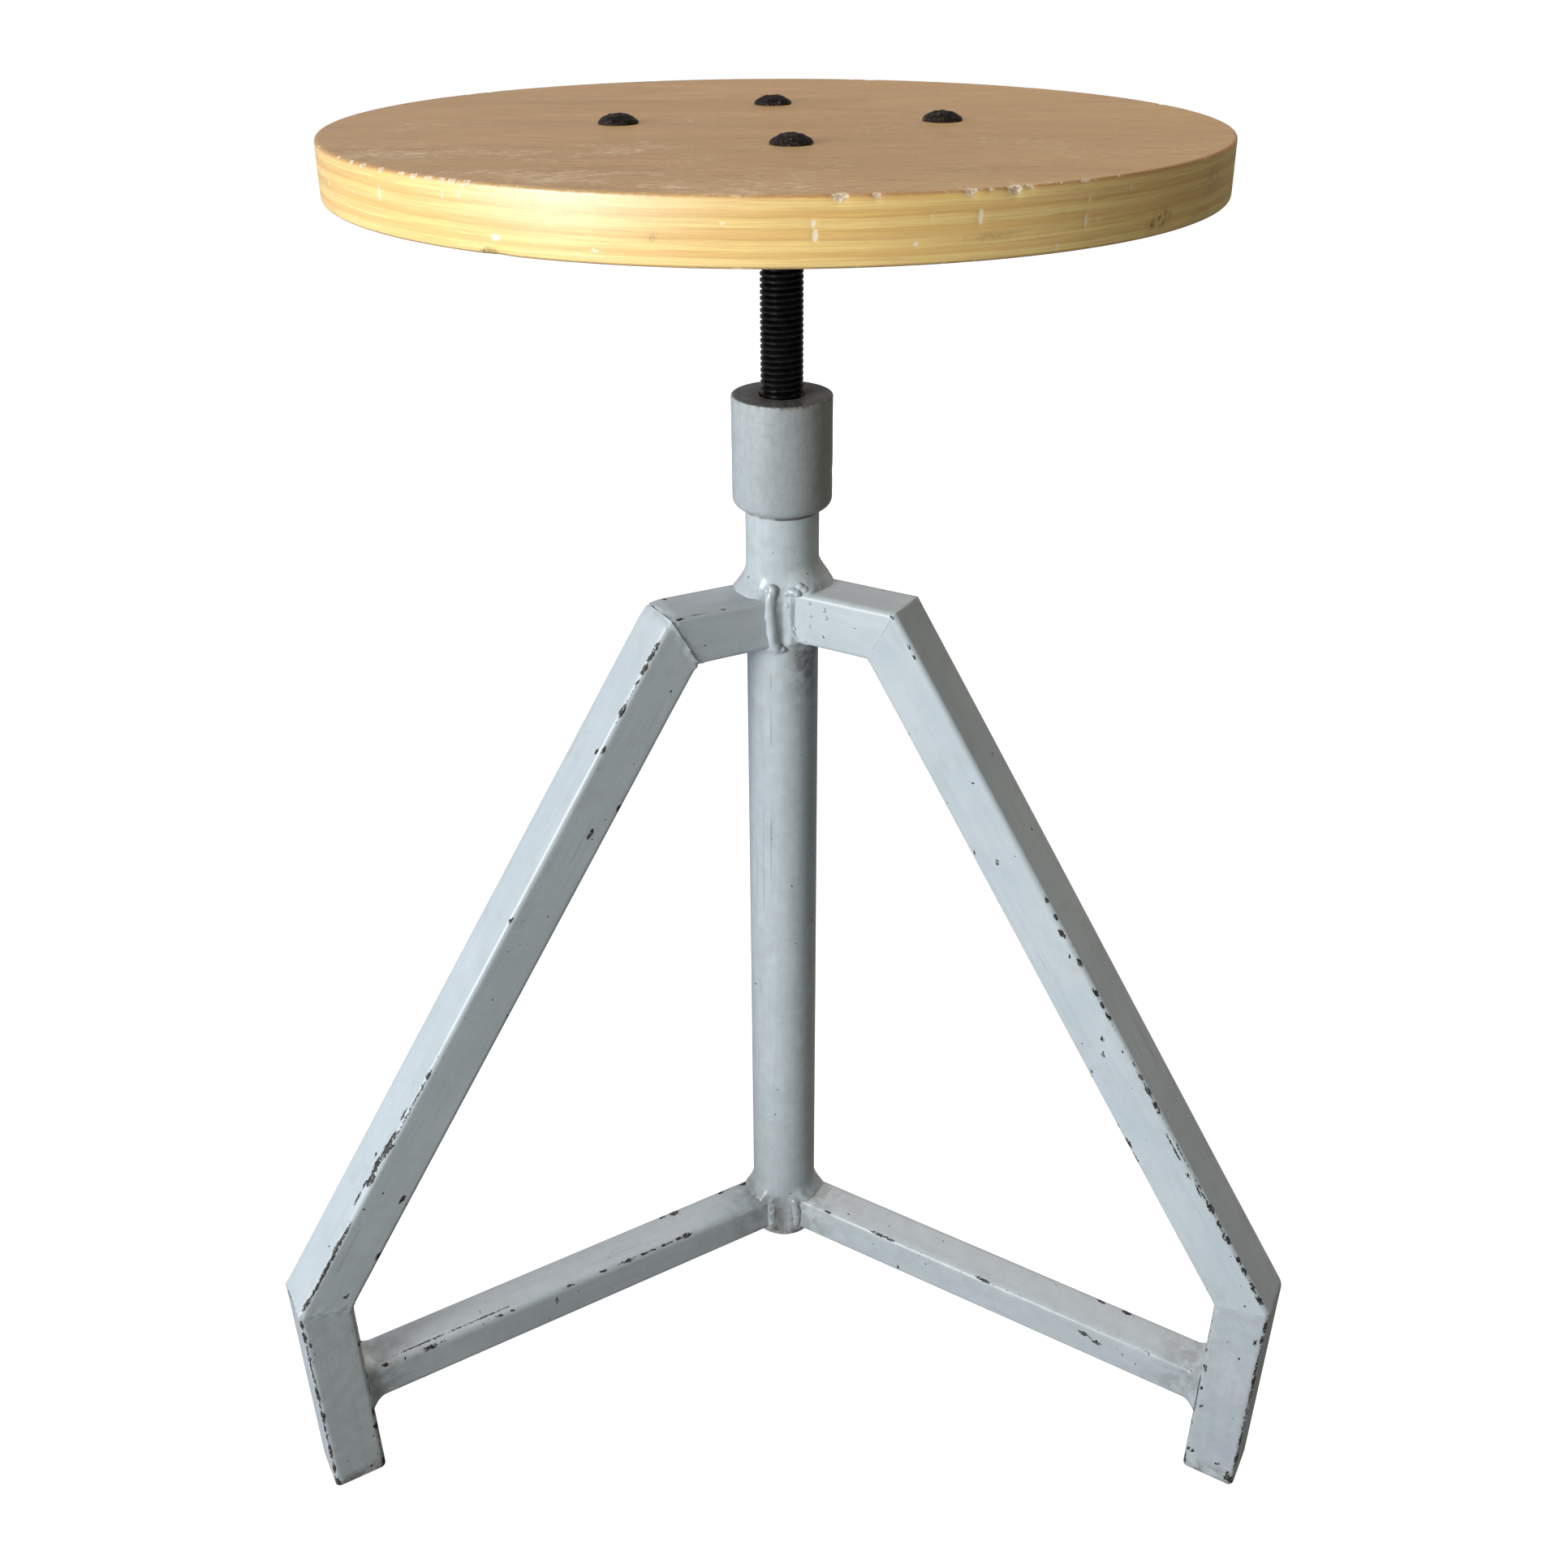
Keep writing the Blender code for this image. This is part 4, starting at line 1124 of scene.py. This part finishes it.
def build_collar():
    low, high, radius = COLLAR_LOW.z, COLLAR_HIGH.z, COLLAR_RADIUS
    bore = THREAD_RADIUS + 0.35 * MM
    profile = [(bore, low + 0.001), (bore, high - 0.8 * MM), (bore + 0.8 * MM, high)]
    profile += [(r, high) for r in spaced(bore + 1.6 * MM, radius - 1.6 * MM, 0.9 * MM)]
    profile += [(radius - 1.6 * MM, high), (radius - 1.0 * MM, high - 0.05 * MM)]
    profile += arc((radius - 0.6 * MM, high - 0.65 * MM), 0.6 * MM, 80, 0, 4)
    profile += [(radius, h) for h in spaced(high - 1.6 * MM, low + 7 * MM, 2 * MM)]
    profile += arc((radius - 4.3 * MM, low + 5.0 * MM), 4.3 * MM, 0, -90, 8)
    profile += [(COLUMN_RADIUS + 1.2 * MM, low + 0.6 * MM), (COLUMN_RADIUS + 0.7 * MM, low + 0.1 * MM),
                (COLUMN_RADIUS - 0.6 * MM, low)]
    steps = 144
    points = turned(profile, steps)
    rows = len(profile)
    flat = points.reshape(-1, 3)
    angle = azimuth_grid(rows, steps)
    height = points[:, :, 2].copy()
    radial = np.hypot(points[:, :, 0] - AXIS.x, points[:, :, 1] - AXIS.y)
    # a worn top, an uneven skin and one nick on the right
    on_side = (radial > radius - 3 * MM) & (height < high - 1.0 * MM)
    from_nick = np.degrees(wrapped(angle + 0.12)) / 7
    nick = np.exp(-(from_nick**2) - ((height - low - 0.016) / (2.2 * MM)) ** 2)
    skin = 0.10 * MM * lumps(flat, 110, 6.0).reshape(rows, steps) - 0.5 * MM * nick
    grow = 1 + np.where(on_side, skin, 0.0) / radius
    grow_from_axis(points, grow)
    on_top = height > high - 0.9 * MM
    worn = on_top * smoothstep(radius - 0.7 * MM, radius - 1.3 * MM, radial)
    oil = on_top * smoothstep(bore + 6.5 * MM, bore + 2.0 * MM, radial) * (
        0.35 + 0.65 * lobe(angle, -90, 55))
    arris = np.exp(-((np.hypot(radial - radius, height - high) / (0.9 * MM)) ** 2))
    facing = lobe(angle, -75, 50)
    around = wrapped(angle + math.pi / 2) * radius
    degrees = np.degrees(wrapped(angle))
    values = {
        "wear": 0.18 + 0.06 * arris * on_top + 0.05 * smoothstep(high - 0.012, high, height),
        "grime": 0.16 + 2.4 * oil + 1.1 * arris * facing * on_top,
        "bare": worn,
        # painted shade: the whole collar darker, as in the seat's shadow, and darker still everywhere but its
        # left side, most of all towards the right
        "painted_shade_and_stain": (0.22 + 0.18 * smoothstep(-125, -95, degrees)
                 + 0.25 * smoothstep(-100, -35, degrees) * smoothstep(60, 20, degrees)),
        "local": np.stack([height * 1.3, radial, around * 3], -1),
    }
    add_piece("collar_shape", points, ring_faces(rows, steps, closed=True), PAINT,
              "frame", ["collar"], values)


build_column()
build_welds()
build_collar()


# ---------------------------------------------------------------- spindle
THREAD_PITCH = 2.5 * MM


def build_spindle():
    """A right-hand thread: one row of points per step round the helix, clipped flat at both ends."""
    steps = 40
    profile = [(0.0, 0.0), (0.30, 1.0), (0.70, 1.0), (1.0, 0.0)]
    depth = 1.35 * MM
    low, high = SPINDLE_LOW.z, SPINDLE_HIGH.z
    turns = int((high - low) / THREAD_PITCH) + 3
    shape = bmesh.new()
    crest = shape.verts.layers.float.new("crest")
    grid = []
    for i in range(turns * steps + 1):
        angle = 2 * math.pi * i / steps
        base = low - THREAD_PITCH * 1.5 + THREAD_PITCH * i / steps
        row = []
        for share, level in profile[:-1]:
            radius = THREAD_RADIUS - depth * (1 - level)
            vertex = shape.verts.new((
                AXIS.x + radius * math.cos(angle), AXIS.y + radius * math.sin(angle),
                base + share * THREAD_PITCH,
            ))
            vertex[crest] = level
            row.append(vertex)
        grid.append(row)
    for i in range(len(grid) - steps - 1):
        here = grid[i] + [grid[i + steps][0]]
        after = grid[i + 1] + [grid[i + 1 + steps][0]]
        for j in range(len(profile) - 1):
            shape.faces.new((here[j], after[j], after[j + 1], here[j + 1]))
    for height, keep in ((low, 1.0), (high, -1.0)):
        geometry = shape.verts[:] + shape.edges[:] + shape.faces[:]
        bmesh.ops.bisect_plane(
            shape, geom=geometry, plane_co=(0, 0, height), plane_no=(0, 0, -keep), clear_outer=True
        )
    bmesh.ops.holes_fill(shape, edges=[e for e in shape.edges if e.is_boundary], sides=0)
    shape.verts.index_update()
    points = [tuple(v.co) for v in shape.verts]
    faces = [[v.index for v in f.verts] for f in shape.faces]
    values = {"crest": [v[crest] for v in shape.verts]}
    shape.free()
    add_piece("spindle_thread", points, faces, THREAD, "seat", ["spindle"], values, crease=50)


build_spindle()


# ---------------------------------------------------------------- seat
# how far the board sits to one side of the spindle
SEAT_SHIFT = -2.0 * MM

# chips along the top edge: azimuth in degrees, width and depth in millimetres, strength
EDGE_CHIPS = [
    (-166, 2.5, 0.5), (-158, 2.5, 0.6), (-148, 3.0, 0.6), (-144, 3.5, 0.8), (-141, 4.5, 0.9),
    (-137, 3.0, 1.0), (-133, 3.5, 0.7), (-131, 4.0, 1.0), (-128.5, 4.0, 0.8), (-126.5, 3.0, 0.9),
    (-125, 3.5, 0.9), (-123, 3.0, 1.2), (-94, 3.0, 0.4), (-83.6, 5.5, 1.5), (-80, 3.0, 1.1),
    (-70.3, 4.0, 1.3), (-68.2, 2.0, 0.7), (-65.3, 5.5, 1.8), (-63.6, 3.0, 1.0), (-59.8, 2.5, 0.5),
    (-56.6, 4.5, 0.7), (-51.8, 2.5, 0.5), (-34, 3.5, 0.5), (20, 4.0, 1.0), (48, 3.0, 0.8),
    (75, 5.0, 1.2), (78, 3.0, 0.9), (110, 4.0, 0.8), (139, 3.0, 1.0), (143, 4.0, 0.9),
]
# scuffs down the side: azimuth, height share, half width and half height in millimetres, strength
SIDE_SCUFFS = [
    (-137.5, 0.62, 0.8, 2.6, 1.0), (-126.4, 0.78, 0.6, 2.4, 0.7), (-128, 0.80, 0.6, 2.0, 0.6),
    (-124, 0.82, 0.7, 2.2, 0.7), (-129.5, 0.76, 0.5, 2.4, 0.5), (-86.2, 0.62, 0.8, 1.6, 0.9),
    (-86, 0.46, 0.9, 2.2, 1.0), (-95, 0.62, 1.6, 1.2, 0.6), (-93, 0.46, 3.0, 0.8, 0.4),
    (-69.2, 0.62, 0.8, 2.8, 1.0), (-74.5, 0.66, 0.5, 1.8, 0.7), (-72.6, 0.66, 0.5, 1.5, 0.6),
    (-76, 0.30, 1.4, 1.0, 0.7), (-56, 0.72, 0.45, 2.4, 0.8), (-56.3, 0.42, 0.5, 3.4, 1.0),
    (-59, 0.55, 0.9, 2.6, 0.4), (-54.6, 0.42, 0.6, 1.2, 0.7), (-49.8, 0.80, 0.5, 2.6, 0.8),
    (-60, 0.10, 0.6, 1.6, 0.8), (-144, 0.55, 0.6, 2.4, 0.5), (-108, 0.20, 2.4, 1.0, 0.6),
    (-119.5, 0.26, 3.0, 1.4, 0.7), (-153, 0.50, 1.8, 1.2, 0.7), (-110, 0.14, 4.0, 0.8, 0.5),
    (60, 0.5, 0.8, 3.0, 0.8), (118, 0.4, 0.7, 3.5, 0.8), (84, 0.6, 1.5, 1.5, 0.6), (30, 0.3, 0.8, 2.6, 0.7),
]
SIDE_SOIL = [
    (-43.5, 0.26, 4.5, 2.6, 1.0), (-45.5, 0.20, 3.0, 1.6, 0.8), (-31, 0.62, 9.0, 5.5, 0.45),
    (-121, 0.05, 4.0, 1.4, 0.9), (100, 0.2, 8.0, 4.0, 0.7), (-68, 0.34, 9.0, 1.0, 0.45),
    (-102, 0.42, 1.4, 1.0, 0.8), (-34, 0.16, 8.0, 2.0, 0.45),
]


def build_seat_board():
    """The board, which sits a little to one side of its spindle."""
    low, high, radius = SEAT_LOW.z, SEAT_HIGH.z, SEAT_RADIUS
    round_over = 1.3 * MM
    inner = [0.001, 0.045, 0.090, 0.130, 0.158, 0.168, 0.1718]
    profile = [(r, high) for r in inner]
    profile += arc((radius - round_over, high - round_over), round_over, 90, 0, 5)
    profile += [(radius, h) for h in spaced(high - 2.2 * MM, low + 2.0 * MM, 1.0 * MM)]
    profile += arc((radius - round_over, low + round_over), round_over, 0, -90, 5)
    profile += [(r, low) for r in reversed(inner)]
    steps = 1500
    points = turned(profile, steps)
    rows = len(profile)
    azimuth = np.degrees(wrapped(np.arange(steps) * 2 * math.pi / steps))[None, :]
    height = points[:, :, 2]
    radial = np.hypot(points[:, :, 0] - AXIS.x, points[:, :, 1] - AXIS.y)
    arris = np.hypot(radial - radius, height - high)
    ragged = lumps(points.reshape(-1, 3), 700, 2.0).reshape(rows, steps)

    def around(centre):
        """Arc length from an azimuth, in metres."""
        return np.radians((azimuth - centre + 180) % 360 - 180) * radius

    chip = np.zeros((rows, steps))
    sunk = np.zeros((rows, steps))
    for centre, wide, deep in EDGE_CHIPS:
        spot = np.exp(-((around(centre) / (wide * 0.5 * MM)) ** 2))
        spot = spot * np.exp(-((arris / (deep * 1.5 * MM)) ** 2))
        chip = np.maximum(chip, spot)
        sunk = sunk + spot * deep * 0.5 * MM * (1 + 0.5 * ragged)
    scuff = np.zeros((rows, steps))
    soil = np.zeros((rows, steps))
    for places, target in ((SIDE_SCUFFS, scuff), (SIDE_SOIL, soil)):
        for centre, share, wide, tall, strength in places:
            level = height - (low + share * (high - low))
            near = np.exp(-((around(centre) / (wide * MM)) ** 2) - (level / (tall * MM)) ** 2)
            np.maximum(target, near * strength, out=target)
    dent = np.exp(-((around(-119.5) / (4.5 * MM)) ** 2) - ((height - low) / (1.6 * MM)) ** 2)
    sunk = sunk + 0.9 * MM * dent * (1 + 0.6 * ragged) + 0.12 * MM * scuff
    wave = lumps(points.reshape(-1, 3), 35, 5.0).reshape(rows, steps)
    on_side = smoothstep(radius - 1.4 * MM, radius - 0.5 * MM, radial)
    inset = sunk + on_side * 0.10 * MM * (wave - 1)
    shrink = 1 - inset / radius
    grow_from_axis(points, shrink)
    points[:, :, 2] -= np.where(height > (low + high) / 2, sunk * 0.6, 0.0)
    points[:, :, 0] += SEAT_SHIFT

    thin = np.broadcast_to(0.55 + 0.45 * np.sin(np.radians(azimuth * 7)), (rows, steps))
    # where the painted highlight washes out the front-left side, the dark line along the top edge fades
    painted_highlight_band = np.exp(-(((azimuth + 110) / 15) ** 2))
    rim = np.exp(-((arris / (1.0 * MM)) ** 2)) * (0.6 + 0.4 * thin) * (1 - 0.85 * painted_highlight_band)
    from_face = np.minimum(high - height + 0.3 * MM * ragged, height - low)
    values = {
        "chip": chip,
        "rim": np.clip(rim, 0, 1),
        "scuff": scuff,
        "soil": soil,
        # painted highlight: a cream band high on the side at the front left
        "painted_highlight": (np.exp(-(((azimuth + 112) / 13) ** 2)) * smoothstep(low + 0.2 * (high - low), high, height)
                   * (0.7 + 0.3 * ragged)),
        "side": smoothstep(0.4 * MM, 1.1 * MM, from_face),
    }
    add_piece("seat_board_shape", points, capped_faces(rows, steps), PLYWOOD, "seat",
              ["seat_board"], values, crease=60)


build_seat_board()


# ---------------------------------------------------------------- seat fasteners
def build_bolt(number):
    """A black mushroom-head bolt with a hammered dome and a shallow driving recess."""
    low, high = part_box(f"seat_bolt_{number}")
    centre = Vector(((low.x + high.x) / 2, (low.y + high.y) / 2, 0.0))
    head = 0.955 * (high.x - low.x) / 2
    under = SEAT_HIGH.z + 0.1 * MM
    shank = 3.0 * MM
    rim = 0.8 * MM
    rise = high.z - under - rim
    dome = (head**2 + rise**2) / (2 * rise)
    top = arc((0.0, high.z - dome), dome, 90, math.degrees(math.acos((head - 0.5 * MM) / dome)), 18)[1:]
    profile = top + [
        (head - 0.12 * MM, under + rim), (head, under + rim * 0.7), (head, under + 0.15 * MM),
        (head - 0.2 * MM, under), (shank, under), (shank, low.z + 0.6 * MM), (shank - 0.5 * MM, low.z),
    ]
    steps = 56
    points = turned(profile, steps, centre)
    rows = len(profile)
    flat = points.reshape(-1, 3)
    radial = np.hypot(points[:, :, 0] - centre.x, points[:, :, 1] - centre.y)
    on_dome = np.arange(rows)[:, None] < len(top)
    hammered = 0.32 * MM * lumps(flat, 560, number).reshape(rows, steps)
    hammered += 0.24 * MM * lumps(flat, 1200, number + 9).reshape(rows, steps)
    recess = -0.7 * MM * np.exp(-((radial / (1.9 * MM)) ** 2))
    points[:, :, 2] += np.where(on_dome, hammered + recess, 0.0)
    add_piece(f"seat_bolt_shape_{number}", flat, capped_faces(rows, steps), BLACK, "seat",
              [f"seat_bolt_{number}"], crease=50)


for number in (1, 2, 3, 4):
    build_bolt(number)

for name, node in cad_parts.items():
    if name.startswith(("seat_washer", "seat_nut", "stop_")):
        node.data.materials.clear()
        node.data.materials.append(ZINC)
    if name == "seat_flange":
        node.data.materials.clear()
        node.data.materials.append(BLACK)


# ---------------------------------------------------------------- camera, floor and light
CAMERA_DISTANCE = 0.6523    # level distance from the column's axis
CAMERA_HEIGHT = 0.6817
CAMERA_AZIMUTH = math.radians(-0.093)
CAMERA_PITCH = math.radians(25.42)
CAMERA_YAW = math.radians(0.054)
CAMERA_ROLL = math.radians(-0.123)
CAMERA_LENS = 36.45
CAMERA_SHIFT = -0.0776


def build_camera():
    data = bpy.data.cameras.new("camera")
    data.sensor_width = 36.0
    data.lens = CAMERA_LENS
    data.shift_y = CAMERA_SHIFT
    data.clip_start = 0.02
    data.clip_end = 200.0
    camera = bpy.data.objects.new("camera", data)
    away = Vector((-math.sin(CAMERA_AZIMUTH), -math.cos(CAMERA_AZIMUTH), 0.0)) * CAMERA_DISTANCE
    camera.matrix_world = (
        Matrix.Translation(AXIS + away + Vector((0.0, 0.0, CAMERA_HEIGHT)))
        @ Matrix.Rotation(-(CAMERA_AZIMUTH + CAMERA_YAW), 4, "Z")
        @ Matrix.Rotation(math.pi / 2 - CAMERA_PITCH, 4, "X")
        @ Matrix.Rotation(CAMERA_ROLL, 4, "Z")
    )
    bpy.context.scene.collection.objects.link(camera)
    bpy.context.scene.camera = camera


def build_floor():
    mesh = bpy.data.meshes.new("floor")
    size = 60.0
    mesh.from_pydata([(-size, -size, -0.0002), (size, -size, -0.0002), (size, size, -0.0002),
                      (-size, size, -0.0002)], [], [(0, 1, 2, 3)])
    f = Finish("floor", roughness=0.9)
    place = f.place()
    tone = f.ramp(f.noise(place, 3.0, 3.0, 0.6), [(0.3, (0.30, 0.30, 0.30)), (0.7, (0.32, 0.32, 0.32))])
    f.put(f.shader.inputs["Emission Color"], (1.0, 1.0, 1.0))
    f.shader.inputs["Emission Strength"].default_value = 0.93
    mesh.materials.append(f.finish(tone))
    floor = bpy.data.objects.new("floor", mesh)
    floor.visible_diffuse = False
    floor.visible_glossy = False
    bpy.context.scene.collection.objects.link(floor)


def area_light(name, place, size, power, colour=(1.0, 1.0, 1.0), target=(0.0, -0.04, 0.35)):
    data = bpy.data.lights.new(name, "AREA")
    data.shape = "DISK"
    data.size = size
    data.energy = power
    data.color = colour
    light = bpy.data.objects.new(name, data)
    light.location = place
    light.rotation_euler = (Vector(target) - Vector(place)).to_track_quat("-Z", "Y").to_euler()
    bpy.context.scene.collection.objects.link(light)
    return light


def build_world():
    """A dim studio: cool light from the left, a little warm light from the right."""
    world = bpy.data.worlds.new("studio")
    world.use_nodes = True
    tree = world.node_tree
    direction = tree.nodes.new("ShaderNodeTexCoord").outputs["Generated"]
    parts = tree.nodes.new("ShaderNodeSeparateXYZ")
    tree.links.new(direction, parts.inputs[0])
    fade = tree.nodes.new("ShaderNodeMapRange")
    fade.interpolation_type = "SMOOTHSTEP"
    for key, value in (("From Min", -1.0), ("From Max", 0.9)):
        fade.inputs[key].default_value = value
    tree.links.new(parts.outputs[0], fade.inputs["Value"])
    blend = tree.nodes.new("ShaderNodeMix")
    blend.data_type = "RGBA"
    tree.links.new(fade.outputs[0], blend.inputs[0])
    blend.inputs[6].default_value = (0.335, 0.345, 0.420, 1.0)
    blend.inputs[7].default_value = (0.128, 0.119, 0.095, 1.0)
    tree.links.new(blend.outputs[2], tree.nodes["Background"].inputs[0])
    bpy.context.scene.world = world


def build_lights():
    build_world()
    area_light("key", (-1.35, -1.35, 0.85), 0.9, 38.5, (1.0, 0.99, 0.95))
    area_light("side", (1.5, -0.95, 0.66), 0.7, 2.0, (1.0, 0.90, 0.70), target=(0.0, -0.04, 0.60))
    back = area_light("back", (0.7, 1.9, 2.2), 1.6, 60.0, (1.0, 0.88, 0.83))
    back.visible_glossy = False


build_camera()
build_floor()
build_lights()
bpy.context.scene.view_settings.view_transform = "Standard"
